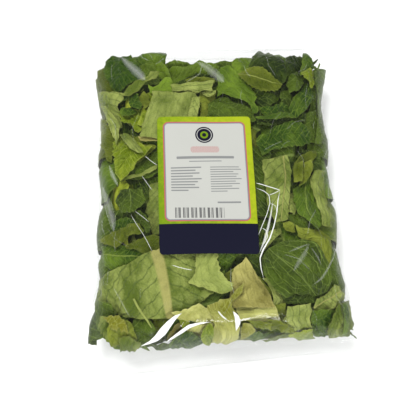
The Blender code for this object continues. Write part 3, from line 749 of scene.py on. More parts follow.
# A piece of leaf under the film, on the drape over the pieces laid before it, with a wall of even thickness.
def makeLeaf(name, facts, lines, draw, spacing=leafCut["backSpacing"]):
    leaf = FlatLeaf(facts, lines, draw, spacing)
    vein, rib = leaf.veinNumber() + 0 * leaf.u, leaf.ribShare()[0]
    veinShare = leaf.facts["veinShare"] * (1 - rib)
    lift = np.maximum(leaf.lift(vein, veinShare), -leafRelief["highest"])
    depth = np.minimum(stack.read(stack.draped(), leaf.arc, leaf.along) + lift, roomAt(leaf.along))
    stack.mark(leaf.arc, leaf.along, depth + leafCut["thickness"])
    points = film.at(leaf.arc, leaf.along, depth)
    outward = points - film.at(leaf.arc, leaf.along, depth + 0.002)
    facing = np.cross(np.diff(points, axis=1)[:-1], np.diff(points, axis=0)[:, :-1])
    quads = gridQuads(leaf.rows, leaf.columns)
    if (facing * outward[:-1, :-1]).sum() < 0:
        quads = quads[:, ::-1]
    tone = facts["tone"] + leaf.facts["fade"] * (leaf.q - 0.5)
    tone = tone + 0.17 * softNoise(leaf.u, leaf.v, leafRelief["shade"], draw)
    rim = np.exp(-leaf.margin / leafRelief["rimReach"])
    numbers = {"tone": tone, "vein": vein, "rib": rib, "rim": rim, "veinShare": veinShare}
    finish = facts["finish"]
    piece = newPiece(name, points, quads.tolist(), leafMaterials[finish], numbers, (leaf.u, leaf.v))
    thicken(piece, leafCut["thickness"])
    return piece


# The points of a line, written "x,y x,y" in pixels of the view.
def pointsOf(line):
    return np.array([[float(part) for part in point.split(",")] for point in line.split()])


# The facts of a piece cut to an outline: two sides, and for some the line of the rib or the bow between.
def cutLeaf(finish, tone, left, right, middle=None, **facts):
    lines = [pointsOf(line) if line else None for line in (left, middle, right)]
    return {"finish": finish, "tone": tone, "lines": lines, **facts}


# The pieces that show on the front, from the film inwards: finish, tone, left side and right side, then
# what differs from a plain leaf. Tone runs from the finish's deep colour at 0 to its light one at 1.
frontLeaves = {
    "corner_tip": cutLeaf("green", 0.3, "343,304 344,314 344,324 342,335",
        "347,303 349,313 349,324 345,336", ragged=0.3, crumple=0.3, wave=0.3, curl=0.0),
    "edge_right": cutLeaf("dark", 0.4, "314,68 315,82 318,96 318,112 317,128 315,144",
        "317,68 321.5,80 324,92 325,108 324.5,126 321,144", crumple=0.3, wave=0.4, blister=0.08, curl=0.0),
    "sprig": cutLeaf("green", 0.5, "314.5,76 317,69 319.5,63", "316,77 318.5,70 320.5,64", ragged=0.05,
        veinShare=0.0, curl=0.0, wave=0.1, crumple=0.0),
    "pale_stem": cutLeaf("pale", 0.35, "132.5,299 136.5,307 140.5,313 146.5,321 151,328",
        "134.5,298.5 138.5,306 142.5,312.5 148,320 152,328", ragged=0.1, veinShare=0.0, curl=0.1, wave=0.2,
        crumple=0.1),
    "ragged_lime": cutLeaf("pale", 0.48,
        "197,250 197,260 195,268 192,277 190,282 194,285 199,287 204,286 208,290 213,291 221,294",
        "216,250 218,263 222,271 229,280 232,284 232,288 229,293 221,294", fade=0.15, ragged=1.2, frill=0.6,
        veins=("parallel", 8.0, 0.6), blister=0.5, crumple=1.1, veinShare=0.3),
    "round_leaf": cutLeaf("dark", 0.36,
        "269,249 281,242 292,239.5 311,240 320,248 328,259 332,270 331,285 326,293 316,296",
        "269,249 263,255 262,264 264,272 270,282 277,291 286,298 291,296 296,293.5 301,296 307,294 316,296",
        middle="269,249 285,262 302,278 316,296", veins=("fan", 7.0, 0.25), veinShare=1.0, blister=0.45,
        rib=0.6, crumple=0.9, wave=1.6),
    "veined_corner": cutLeaf("pale", 0.1, "337,305 334,315 330,325 327,332 329,339 334,345",
        "348,300 351,308 352,320 350,330 348,337 341,342", ragged=0.6, veins=("parallel", 5.0, 1.0),
        veinShare=1.0),
    "frill_yellow": cutLeaf("cream", -0.15, "106,319 112,316 119,317 127,320",
        "108,327 114,329 120,332 128,334", ragged=1.4, frill=1.3, ruffle=5.0, crumple=0.4, teeth=0.8),
    "frill_tip": cutLeaf("pale", 0.16, "119,339 126,335 133,337 140,343",
        "119,350 126,352.5 133,352 139,348", ragged=0.8, frill=0.9, ruffle=5.5, crumple=0.4, teeth=0.3),
    "frill_corner": cutLeaf("olive", 0.6, "106,328 112,323 119,321 126,320 132,325",
        "110,345 118,347 126,348 133,345 137,338", ragged=0.8, frill=1.1, ruffle=5.5, crumple=0.4),
    "frill_outer": cutLeaf("pale", 0.14, "101,316 99,325 101,333 106,341 115,347",
        "107,316 110,326 114,334 120,340 128,345", ragged=0.7, frill=0.8, ruffle=7.0, crumple=0.5,
        fade=-0.3),
    "left_fill": cutLeaf("dark", 0.42, "96,300 95.5,311 96,322 99,331 104,339 112,346",
        "112,304 115,314 116,324 117,333 118,341 122,348", ragged=0.3, crumple=0.3, wave=0.5),
    "lime_leaf": cutLeaf("lime", 0.0, "209,323 203,330 201,336 204,343 208,348",
        "211,323 214,330 214,337 211,344 209,348"),
    "cream_fold": cutLeaf("cream", 0.27, "207,305 206,311 211,318 214,328 214,337 211,348",
        "230,297 233,307 237,317 241,328 240,337 229,345", fade=0.15, ragged=0.9,
        veins=("parallel", 5.0, 1.2), veinShare=1.0, crumple=0.9),
    "cream_tongue": cutLeaf("olive", 0.45, "250,321 260,320 268,322 272,322",
        "254,326 262,329.5 268,330 272,330", ragged=0.7, crumple=0.9),
    "cream_square": cutLeaf("cream", 0.12, "243,323 241,331 240,340", "250,323 256,330 246,338",
        ragged=0.4),
    "olive_tongue": cutLeaf("olive", 0.4, "264,322 270,320 278,320 286,325 294,329",
        "266,329 272,330.5 279,330.5 286,333 294,334", ragged=0.8, crumple=0.9),
    "bottom_strip": cutLeaf("lime", 0.1, "290,336 297,332 304,330 312,329",
        "291,340 298,341 305,342 312,343", ragged=0.9, frill=0.5),
    "pale_fold": cutLeaf("pale", 0.5, "288,306.5 286,314 282,321 285,326 292,330 297,336",
        "311,303.5 312,312 310,318 312,328 306,332 298,336", ragged=0.7, veins=("parallel", 7.0, 0.8),
        fade=0.1, crumple=0.9),
    "green_corner": cutLeaf("green", 0.22, "312,310 310,318 312,328 312,338 314,345",
        "335,310 333,319 329,327 328,333 331,340 331,345", ragged=0.7, blister=0.5, crumple=1.0),
    "toe_pale": cutLeaf("pale", 0.05, "262,341 270,339 279,336 288,337 297,340",
        "265,347 274,346 283,344 291,343 299,343", ragged=1.0, frill=0.5),
    "toe_green": cutLeaf("green", 0.3, "243,337 251,333 259,331 267,333 276,337",
        "247,346 254,347 262,346 270,346 278,343", ragged=1.2, frill=0.8),
    "green_toe": cutLeaf("green", 0.08, "168,344 176,336 184,332 192,332 199,337 206,345",
        "172,349 180,350 190,350.5 199,350.5 206,350"),
    "toe_left": cutLeaf("green", 0.3, "112,346 120,348 132,348 146,346",
        "114,350.5 124,353.5 136,353.5 150,352", ragged=0.4, frill=0.2),
    "toe_dark": cutLeaf("dark", 0.35, "139,346 150,343 162,343 176,344", "141,351 153,351 165,351 178,351",
        ragged=0.7),
    "toe_haze": cutLeaf("olive", 0.35, "204,347 216,346 227,343.5 237,340 247,337",
        "206,351 218,351 229,350.5 240,350.5 250,350", ragged=0.9),
    "toe_low": cutLeaf("olive", 0.35, "240,343 254,343 268,343 282,341 300,340",
        "243,350.5 256,351.5 270,351 284,349.5 302,346", ragged=0.9),
    "base_low": cutLeaf("dark", 0.3, "236,334 252,331 268,329 284,329 300,332 318,332",
        "238,348 254,349 270,349 286,347 302,344 318,342", ragged=0.9, crumple=1.0),
    "right_low": cutLeaf("pale", 0.38, "316,300 322,297 329,291 337,284", "316,316 328,311 338,307 345,299",
        middle="313,308 323,301.5 333,296.5 340,291", ragged=0.9, rib=0.6, crumple=0.9),
    "lime_crest": cutLeaf("cream", 0.48, "171,312 180,311 190,308 200,304.5 207,308",
        "176,318 188,321 198,322 206,321.5 213,322", ragged=1.0, frill=0.5, crumple=0.9),
    "rib_leaf": cutLeaf("pale", 0.25,
        "150,250 139,257 120,266 104,274 97,285 95,299 98,309 112,315 131,319 150,319 165,318",
        "166,248 186,248 202,254 214,266 217,280 214,292 205,300 192,307 180,310.5 173,318",
        middle="156,250 160,265 164,283 167,300 170,318", ragged=0.9, rib=12.5, ribTaper=0.45, ribRise=1.3,
        veins=("feather", 15.0, 0.75), veinShare=1.0, blister=0.45, crumple=0.8, wave=1.4),
    "wedge_flap": cutLeaf("cream", 0.24, "244,283 237,289 231,295 228,305",
        "244,283 242,293 235,299 229,306", ragged=0.4),
    "beige_wedge": cutLeaf("tan", 0.38, "246,256 240,263 234,268 232,275 231,285 229,299 233,308",
        "246,256 251,265 259,278 268,289 272,300 276,308", fade=-0.25, veins=("parallel", 7.0, 0.8),
        veinShare=0.5, crumple=0.9, wave=1.6),
    "cream_band": cutLeaf("cream", 0.5, "234,303 250,302 262,302 275,305",
        "239,320 250,321.5 265,321 281,321", ragged=0.6, veins=("parallel", 5.5, 0.4), veinShare=0.6),
    "grey_tall": cutLeaf("pale", 0.29, "262,161 264,175 265,190 267,203 271,214 276,222",
        "287,155 290,165 291,174 290,190 289,205 288,219", middle="284,156 286,176 284,195 281,221",
        ragged=0.7, rib=0.6, bulge=1.0, veins=("feather", 12.0, 1.2), veinShare=1.0),
    "olive_leaf": cutLeaf("olive", 0.2, "238,74 243,70 250,67 255,66 262,67 268,71 276,79 283,84",
        "238,74 243,79 248,84 254,88 260,90.5 267,92 274,91 280,89 283,84",
        middle="238,74 250,75 262,79 274,83 283,84", teeth=1.8, rib=0.6, veins=("feather", 8.0, 0.8),
        crumple=0.8),
    "pale_blade": cutLeaf("pale", 0.36, "198,97 193,98 191,105 188,113 187,121",
        "200,97 200,104 198,112 196,121", ragged=0.6),
    "big_pale": cutLeaf("pale", 0.32, "139,137 142,127 145,117 149,105 152,97 152,90",
        "176,140 186,132 195,121 198,110 198,100 196,93", ragged=0.6, veins=("fan", 6.0, 0.8),
        veinShare=0.45, wave=1.2),
    "cut_rib": cutLeaf("tan", 0.35, "138,136 142,135 150,135.5 164,135.5",
        "140,140.5 145,141 152,141 164,141", ragged=0.3, veinShare=0.3, veins=("parallel", 2.5, 0.0)),
    "top_pale": cutLeaf("pale", 0.14, "122,96 130,95.5 138,92 142,87 146,82 153,79 160,74",
        "123,95 127,88 133,82 139,79 148,76.5 151,71 159,71", ragged=0.7, veinShare=0.5, wave=0.6),
    "pale_strip": cutLeaf("pale", 0.38, "172,84 180,83.5 190,82.5 200,81.5 213,79.5",
        "173,91.5 180,91.5 187,89.5 193,92 199,92.5 206,90.5 213,90", ragged=0.9,
        veins=("parallel", 5.0, 0.3)),
    "frill_notch": cutLeaf("pale", 0.5, "202,92 207,91 215,90", "204,95 209,97 215,94", ragged=1.2,
        frill=0.4),
    "olive_patch": cutLeaf("green", 0.7, "147.5,84.5 153,87 158,85 162,80 166,77 171,79 174,85",
        "150,93 156,95 162,95 167,95 171,95 174,94 175,92", ragged=0.7),
    "shelf_strip": cutLeaf("green", 0.26, "256,117 266,116 276,113.5 285,112 291,113 294,116",
        "258,118.5 268,119.5 280,119 288,116.5 294,117.5", ragged=0.9, veinShare=0.3, frill=0.3),
    "mid_leaf": cutLeaf("green", 0.4,
        "217,70 218,80 217,88 217,96 223,94 230,96 238,99 245,102 250,105 251,109 253,114",
        "223,66 231,66 237,73 245,80 250,84 253,89 257,96 255,102 258,109 257,112", ragged=1.0, teeth=0.8,
        fade=-0.15, veins=("parallel", 9.0, 1.4), veinShare=0.5, crumple=1.0, wave=1.4),
    "lime_curl": cutLeaf("lime", 0.14, "301,73 306,70 311,66.5 314,72 314,81 312,88",
        "301,74 305,77 308,80 310,84 311,88", ragged=0.4, frill=0.5, veins=("feather", 4.0, 0.8),
        teeth=1.2),
    "corner_olive": cutLeaf("green", 0.22, "303,53 302,62 300,75", "307,51 312,60 316,67 306,75"),
    "heart_green": cutLeaf("green", 0.02, "134,93 129,99 131,106 139,109", "138,93 138,100 141,105 142,108",
        ragged=0.9, frill=0.6),
    "heart_olive": cutLeaf("olive", 0.45, "138,97 139,103 144,108", "144,92 149,97 151,104", ragged=0.9,
        frill=0.5),
    "heart_lime": cutLeaf("lime", 0.02, "145,95 143,104 140,114 137,124", "152,92 153,101 150,112 145,124",
        ragged=1.2, frill=0.9, crumple=1.2),
    "heart_curl": cutLeaf("green", 0.24, "120,112 124,108 130,108 136,111",
        "122,115 127,116 132,114 137,113", ragged=0.9, frill=0.7),
    "frill_heart": cutLeaf("lime", 0.03, "119,115 126,114 133,112 140,110 146,106 150,104",
        "121,122 127,124.5 132,126 138,134 143,128 150,116", ragged=1.4, frill=1.3, blister=0.5,
        crumple=1.4),
    "left_pale_low": cutLeaf("pale", 0.35, "102,106 106,118 110,128 113,136 116,145",
        "106,106 114,115 121,126 119,137 116,145", veins=("parallel", 5.0, 0.4), veinShare=1.0),
    "left_pale": cutLeaf("pale", 0.3, "98,93 99,102 103,110 112,119 121,128",
        "124,94 123,101 119,108 120,118 122,128", ragged=0.6, veins=("feather", 7.0, 0.6), veinShare=1.0),
    "dark_band": cutLeaf("green", 0.05,
        "256,137 263,134 270,134 274,125 283,124 295,120.5 301,124 307,130 310,137",
        "258,147 263,155.5 268,154 273,149.5 285,148 295,146 304,145 309,143", ragged=1.1, blister=0.5,
        bulge=1.0, crumple=1.0),
    "brown_fold": cutLeaf("olive", 0.25, "272,305 276,312 280,322", "286,303 286,312 282,322"),
    "pale_streak": cutLeaf("pale", 0.27, "120,134 124,141 130,148 137,153",
        "128,134 136,141 141,147 143,152", veins=("parallel", 3.0, 0.2)),
    "left_lime": cutLeaf("lime", 0.06, "116,137 113,148 114,158 115,168 117,176 120,181",
        "134,138 146,147 152,146 145,155 138,161 134,169 127,175 120,181", fade=0.1, ragged=0.9,
        blister=0.6, crumple=1.4, wave=1.6),
    "left_olive": cutLeaf("olive", 0.3, "126,134 134,146 140,159 137,163",
        "138,137 146,148 153,144 157,146 148,154 139,162", ragged=0.7),
    "edge_lime": cutLeaf("olive", 0.22, "99,119 98,130 101,138 105,150 107,160",
        "107,120 112,130 115,141 114,152 113,163", ragged=0.9, frill=0.5, crumple=1.0),
    "round_under": cutLeaf("dark", 0.36, "283,296 291,294 300,294 312,291 325,290 333,286",
        "286,303 296,305 308,304 318,302 328,299 334,294", ragged=0.8, crumple=0.9),
    "dark_round": cutLeaf("dark", 0.5, "139,316 133,321 132,329 134,338 139,346",
        "147,316 151,321 155,328 158,331 151,340 142,346", ragged=0.4, soften=6, blister=0.4, crumple=0.9),
    "olive_chip": cutLeaf("olive", 0.28, "151,315 152,322 156,331", "170,316 168,322 160,332", ragged=0.6),
    "cream_low": cutLeaf("cream", 0.6, "186,332 191,326 198,322 206,321 213,322",
        "189,334 196,336 203,341 207,336 213,328", ragged=0.7),
    "lime_edge": cutLeaf("lime", 0.45, "177,317 182,324 183,331", "188,318 190,323 187,330", ragged=0.6),
    "brown_chip": cutLeaf("tan", 0.02, "181,322 172,327 168,333 166,341", "184,327 182,331 176,336 170,341",
        ragged=0.7),
    "left_dark": cutLeaf("dark", 0.32, "121,190 116,200 119,208 122,213", "142,189 145,200 141,207 131,213",
        middle="130,189 131,200 130,213", ragged=0.7, rib=0.6, crumple=0.9),
    "left_blade": cutLeaf("pale", 0.2, "120,178 131,175 141,173 150,168 158,164",
        "120,181.5 130,179 141,176 149,173 158,168.5", veinShare=0.3),
    "shade_blade": cutLeaf("dark", 0.4, "124,173 130,168 137,162 143,155 158,147",
        "127,180 136,179 145,178 152,176 160,172", ragged=0.7),
    "left_green": cutLeaf("olive", 0.15, "101,240 104,236 113,231 122,228 130,224 138,222 144,231",
        "102,242 109,245 116,248.5 121,244 126,239 130,235 137,234.5 144,232", ragged=0.9, fade=-0.2,
        crumple=0.9),
    "left_low_olive": cutLeaf("olive", 0.1, "126,246 134,242 144,237 152,234 160,235",
        "127,249 136,251 144,254 152,256 160,256", ragged=0.7),
    "left_mid": cutLeaf("green", 0.2, "102,246 112,246 122,244 132,246 142,250 152,254",
        "104,266 112,272 122,272 134,268 144,263 152,260", middle="103,254 118,256 134,256 152,257",
        ragged=0.7, fade=-0.25, rib=0.6, crumple=0.9),
    "left_rise": cutLeaf("green", 0.0, "112,225 118,219 126,216 136,220", "112,234 120,231 128,227 138,224",
        ragged=0.9),
    "left_slip": cutLeaf("dark", 0.22, "132,211 136,218 142,226 146,233", "140,210 146,217 151,227 149,233",
        ragged=0.7),
    "left_shade": cutLeaf("dark", 0.14, "110,212 122,211 134,210 142,214 150,222",
        "110,232 122,233 133,230 142,234 150,238", ragged=0.7),
    "lime_square": cutLeaf("olive", 0.36, "294,164 293,172 294,182", "303,161 304,171 302,181"),
    "olive_square": cutLeaf("olive", 0.45, "304,162 303,173 299,186", "312,159 313,170 306,182"),
    "lime_top": cutLeaf("olive", 0.2, "295,163 300,155 308,151.5 315,150",
        "297,167 304,163 312,161 316,156", ragged=0.9),
    "right_rib": cutLeaf("pale", 0.24, "313,171 310,182 313,194 317,206 321,213 322,226",
        "325,170 325,183 324,192 327,206 330,214 331,228", veins=("parallel", 4.0, 0.2), veinShare=0.6),
    "mid_rib": cutLeaf("green", 0.26, "301,182 293,189 292,200 297,213 306,219 318,229",
        "311,177 317,188 320,200 322,212 323,222 320,229", middle="308,178 305,194 306,208 319,229",
        ragged=0.7, rib=0.6, crumple=1.0, veins=("feather", 10.0, 1.2)),
    "left_top_dark": cutLeaf("green", -0.05, "112,57.5 106,63 104,72 109,82 114,92",
        "131,56 138,63 142,72 139,80 130,84 122,91", veinShare=0.45, ragged=0.7, crumple=1.3, wave=1.6,
        blister=0.4),
    "left_top_olive": cutLeaf("olive", 0.12, "98,71 97,80 98,88 100,96", "107,67 110,80 115,90 118,95",
        ragged=0.6),
    "top_dark": cutLeaf("dark", 0.1, "248,65 253,57 258,51.5 268,54 277,57 284,61 286,72",
        "250,73 258,74 268,80 276,86 285,82 287,77", veinShare=0.3, ragged=0.9, crumple=1.2, wave=1.6,
        blister=0.4),
    "top_olive": cutLeaf("green", 0.52, "231,62 233,70 238,77", "253,57 251,66 247,75", ragged=0.8),
    "right_green": cutLeaf("dark", 0.46, "290,76 286,83 289,94", "300,73 304,79 299,90", ragged=0.8,
        crumple=0.9),
    "corner_dark": cutLeaf("dark", 0.06, "285,58 285,68 284,82", "303,54 304,66 303,80", veinShare=0.3,
        ragged=0.9, crumple=1.0),
    "right_blade": cutLeaf("green", 0.04, "306,83 300,90 293,97 289,107 290,118",
        "313,85 313,97 309,106 303,112 296,118", ragged=0.7, veins=("parallel", 5.0, 0.3), veinShare=1.0,
        crumple=0.8),
    "shelf_green": cutLeaf("green", 0.05, "257,106 264,106 272,106 278,104 284,102 291,108",
        "260,113 265,116.5 274,115 280,114 286,113 291,112", ragged=1.0, crumple=0.9),
    "shelf_curl": cutLeaf("dark", 0.34, "281,92 280,99 284,106", "287,90 291,98 289,106", ragged=1.0,
        frill=0.6),
    "dark_shelf": cutLeaf("dark", 0.24, "253,89 262,89 272,89 280,89",
        "254,101 261,106 268,107 275,104 280,97", ragged=0.9, teeth=1.0, crumple=0.9),
    "shelf_base": cutLeaf("dark", 0.17, "256,119 268,118 282,118 296,116 306,112",
        "257,124 268,125 282,123 296,121 307,121", ragged=0.9),
    "dark_over_label": cutLeaf("dark", 0.44, "209,104 218,97 224,95 229,98 233,103 242,104 254,110",
        "205,121 215,124 230,124 245,124 256,122", ragged=0.9, crumple=1.1, wave=1.4, blister=0.4),
    "olive_notch": cutLeaf("olive", 0.56, "199,93 200,106 199,121", "216,91 215,104 209,113", ragged=0.8,
        crumple=0.9),
    "strip_above": cutLeaf("olive", 0.3, "186,80 195,77 205,77 215,79", "187,85 198,85 208,85 215,84",
        ragged=0.7),
    # hazy_dark, hazy_leaf and top_shadow are dark leaves set light in tone, so they also carry the film's
    # haze over them: partly a painted reflection
    "hazy_dark": cutLeaf("dark", 0.55, "139,66 139,76 143,86", "152,62 156,70 162,85", ragged=0.6),
    "hazy_leaf": cutLeaf("dark", 0.92, "149,62.5 151,70 156,80", "161,61.5 167,69 171,79", ragged=0.6),
    "top_arc": cutLeaf("dark", 0.05, "176,83 184,78 193,74 203,73 216,77",
        "178,86 190,85 200,83 210,82 217,82", ragged=0.8),
    "top_shadow": cutLeaf("dark", 0.85, "164,71 171,68 181,68 191,65 199,61 208,64 220,67",
        "164,84 172,86 182,86 192,80 204,78 220,80", ragged=0.9),
    "lime_fold": cutLeaf("olive", 0.5, "296,224 302,228 310,229 320,229 327,235 331,246 331,262",
        "298,236 304,241 312,243 318,246 322,253 328,264", ragged=0.6, veins=("parallel", 4.5, 0.3),
        crumple=0.9),
    "olive_tab": cutLeaf("olive", 0.74, "282,222 288,222 293,223", "284,229 290,231 296,232", ragged=0.6),
    "pale_tab": cutLeaf("pale", 0.36, "265,232 272,230 281,228", "265,250 272,242 281,234", ragged=0.4),
    "pale_wing": cutLeaf("pale", 0.5, "262,278 270,287 273,297 272,307", "272,278 280,290 288,301 280,306",
        ragged=0.6, veins=("parallel", 4.0, 0.3), veinShare=1.0),
    "pale_column": cutLeaf("pale", 0.38, "289,193 289,204 290,213", "295,193 298,205 295,216", ragged=0.7),
    "shade_right": cutLeaf("dark", 0.5, "286,214 290,222 297,230", "302,212 310,220 322,230", ragged=0.8),
    "right_haze": cutLeaf("dark", 0.45, "303,114 304,128 308,144", "316,110 319,128 318,144", ragged=0.7),
    "right_nook": cutLeaf("dark", 0.25, "301,150 307,160 311,172", "318,150 320,160 322,172", ragged=0.8),
    "under_label_left": cutLeaf("pale", 0.22, "149,184 148,200 145,214 149,226 153,236",
        "185,185 190,210 190,236", ragged=0.7, crumple=0.9),
    "under_label_right": cutLeaf("dark", 0.3, "230,148 233,180 235,216", "270,146 272,180 270,218",
        ragged=0.7, crumple=0.9),
}


# The front pieces, each on the drape over those laid before it. A piece of the part's own is replaced.
def makeFrontLeaves():
    draw = np.random.default_rng(leafCut["seed"])
    for name, facts in frontLeaves.items():
        field = stack.draped()

        def level(arc, along):
            return np.minimum(stack.read(field, arc, along) + leafRelief["rest"], roomAt(along))

        lines = [None if pixels is None else whereSeen(pixels, level) for pixels in facts["lines"]]
        piece = makeLeaf(name, facts, lines, draw, leafCut["spacing"])
        if "leaf_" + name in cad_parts:
            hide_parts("leaf_" + name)


makeFrontLeaves()
print("front leaves laid:", len(frontLeaves))


# Left side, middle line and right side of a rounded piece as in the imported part: a square with bowed
# sides, waved by three sines, turned and set down at its arc and distance along the bag.
def roundedSides(place, length, width, turn, roundness, taper, phase):
    q = np.linspace(-1, 1, 25)
    lines = []
    for p in (-1.0, 0.0, 1.0):
        a = p * np.sqrt(1 - roundness * q**2 / 2) * (1 - taper * q)
        a = a + 0.05 * p**2 * np.sin(5.1 * q + phase[0]) + 0.07 * np.sin(2.3 * q + phase[1])
        b = q * np.sqrt(1 - roundness * p**2 / 2) + 0.06 * q**2 * np.sin(5.7 * p + phase[2])
        a, b = a * width / 2, b * length / 2
        arc = place[0] + a * math.cos(turn) - b * math.sin(turn)
        along = place[1] + a * math.sin(turn) + b * math.cos(turn)
        lines.append(np.stack([arc, along], axis=1))
    return lines


# The lines of a rounded piece, its measures drawn at random within those of its layer.
def drawnSides(layer, place, draw, size=None):
    length, width = size or (draw.uniform(*layer["length"]), draw.uniform(*layer["width"]))
    turn = draw.uniform(-layer["turn"], layer["turn"])
    roundness, taper = draw.uniform(*layer["roundness"]), draw.uniform(-layer["taper"], layer["taper"])
    return roundedSides(place, length, width, turn, roundness, taper, draw.uniform(0, *layer["phase"]))


rimLayer = {
    "turn": 0.2, "roundness": (0.1, 0.4), "taper": 0.1,
    "phase": (6, 3),  # greatest phase of a side's waves, and how many are drawn
    "seed": 17,
    "facts": {"ragged": 0.8, "wave": 0.5, "crumple": 0.5, "curl": 0.0},
}

# pieces that wrap the sides and the ends: arc, distance along, length and width in millimetres, finish, tone
rimLeaves = [
    (150, 113, 66, 56, "dark", 0.45), (154, 62, 68, 58, "dark", 0.45), (150, 18, 66, 56, "green", 0.35),
    (153, -32, 70, 58, "pale", 0.12), (150, -82, 72, 56, "dark", 0.5), (148, -130, 66, 60, "green", 0.25),
    (-150, 108, 56, 56, "olive", 0.15), (-152, 62, 66, 58, "olive", 0.2), (-149, 15, 68, 56, "green", 0.3),
    (-153, -36, 70, 58, "dark", 0.45), (-150, -88, 68, 56, "dark", 0.5), (-146, -130, 56, 50, "dark", 0.3),
    (112, 138, 48, 46, "dark", 0.15), (-110, 119, 44, 48, "green", 0.1), (122, -152, 48, 52, "green", 0.3),
    (70, 146, 36, 60, "green", 0.2), (26, 127, 36, 60, "dark", 0.5), (-26, 123, 38, 60, "dark", 0.5),
    (-76, 141, 38, 52, "green", 0.2), (78, -162, 36, 66, "dark", 0.4), (26, -164, 36, 64, "olive", 0.3),
    (-26, -162, 38, 66, "green", 0.3), (-66, -160, 36, 50, "dark", 0.4),
]


# The rim pieces, each rounded and a little turned at random.
def makeRimLeaves():
    draw = np.random.default_rng(rimLayer["seed"])
    for number, (arc, along, length, width, finish, tone) in enumerate(rimLeaves, 1):
        lines = drawnSides(rimLayer, (arc / 1000, along / 1000), draw, (length / 1000, width / 1000))
        makeLeaf(f"rim_{number:02d}", {"finish": finish, "tone": tone, **rimLayer["facts"]}, lines, draw)


makeRimLeaves()
print("rim leaves laid:", len(rimLeaves))

backLeaves = {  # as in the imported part, but for the looks
    "columns": 5, "rows": 4, "rowSpacing": 0.080,
    "start": 0.100,  # arc at which the rows start and end
    "stagger": 0.25,  # shift of every other row, in columns
    "stray": (0.008, 0.006),  # round the bag and along it
    "length": (0.080, 0.098), "width": (0.066, 0.080), "turn": 0.6, "roundness": (0.2, 0.9), "taper": 0.15,
    "phase": (2 * math.pi, 6),
    "seed": 41,
    "spent": 8 * 36,  # numbers that the part draws before, eight for each of its front pieces
    "ownSeed": 42,  # of the looks
    "tone": (0.3, 0.6), "rib": (1.5, 5.0), "ribRise": 0.5, "vein": (7, 11), "slant": (0.6, 1.1),
    "finishes": ("dark", "green", "dark", "pale", "green", "olive", "dark", "cream", "green", "lime"),
}

innerLeaves = {
    "columns": 6, "rows": 6, "columnSpacing": 0.046, "rowSpacing": 0.052, "stagger": 0.25, "seed": 7,
    "length": (0.060, 0.078), "width": (0.048, 0.060), "turn": 2.0, "roundness": (0.2, 0.8), "taper": 0.2,
    "phase": (6, 3),
    # tones kept low: painted shade in the gaps of the front
    "tone": (0.1, 0.45), "rib": (1.5, 4.0), "ribRise": 0.4, "vein": (6, 10), "slant": 0.8,
    "finishes": ("dark", "green", "dark", "olive", "dark", "green", "pale", "dark", "green"),
}

hiddenFacts = {"blister": 0.4, "ragged": 0.8, "tuck": leafCut["innerTuck"]}


# Rows and columns of staggered pieces: number, place in columns and rows from the middle, and finish.
def staggered(layer):
    for number in range(layer["rows"] * layer["columns"]):
        row, column = divmod(number, layer["columns"])
        across = column + 0.5 - layer["columns"] / 2 + layer["stagger"] * (row % 2 - 0.5)
        finish = layer["finishes"][number % len(layer["finishes"])]
        yield number + 1, across, row + 0.5 - layer["rows"] / 2, finish


# The pieces round the sides and on the back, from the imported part's own draws.
def makeBackLeaves():
    draw, own = np.random.default_rng(backLeaves["seed"]), np.random.default_rng(backLeaves["ownSeed"])
    draw.uniform(size=backLeaves["spent"])
    (sideways, lengthwise), layer = backLeaves["stray"], backLeaves
    columnSpacing = 2 * (bag["filmWidth"] - backLeaves["start"]) / backLeaves["columns"]
    for number, across, ahead, finish in staggered(backLeaves):
        arc = bag["filmWidth"] + across * columnSpacing + draw.uniform(-sideways, sideways)
        along = ahead * layer["rowSpacing"] + draw.uniform(-lengthwise, lengthwise)
        lines = drawnSides(layer, (arc, along), draw)
        draw.uniform(size=2)  # the part's ripples
        facts = dict(finish=finish, tone=own.uniform(*layer["tone"]), rib=own.uniform(*layer["rib"]),
                     veins=("feather", own.uniform(*layer["vein"]), own.uniform(*layer["slant"])),
                     ribRise=layer["ribRise"], **hiddenFacts)
        piece = makeLeaf(f"back_{number:02d}", facts, lines, own)
        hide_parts(f"leaf_back_{number:02d}")


makeBackLeaves()
print("back leaves laid")


# A second layer, seen in the gaps of the front: rounded pieces in staggered rows, turned at random. Their
# tones are kept low, which paints shade into those gaps over the leaves' own colour.
def makeInnerLeaves():
    layer, draw = innerLeaves, np.random.default_rng(innerLeaves["seed"])
    for number, across, ahead, finish in staggered(layer):
        place = across * layer["columnSpacing"], ahead * layer["rowSpacing"]
        lines = drawnSides(layer, place, draw)
        facts = dict(finish=finish, tone=draw.uniform(*layer["tone"]), rib=draw.uniform(*layer["rib"]),
                     veins=("feather", draw.uniform(*layer["vein"]), layer["slant"]),
                     ribRise=layer["ribRise"], **hiddenFacts)
        makeLeaf(f"inner_{number:02d}", facts, lines, draw)


makeInnerLeaves()
print("inner leaves laid")

packedMiddle = {
    "depth": 0.021,
    "half": 0.146,  # its length
    "rows": 100, "columns": 170,
    "crumple": 0.0045,
    "radius": 0.097,  # of the round that its arc is rolled to, so that its folds meet
    "fold": 0.045,  # lengths of its folds
    "crease": 0.018,
    "closing": (0.86, 0.010),  # share of its half length from which it closes, and how much deeper it gets
    "tone": 0.12, "veinShare": 0.4, "veinSpacing": 0.009,
    "seed": 5,
}


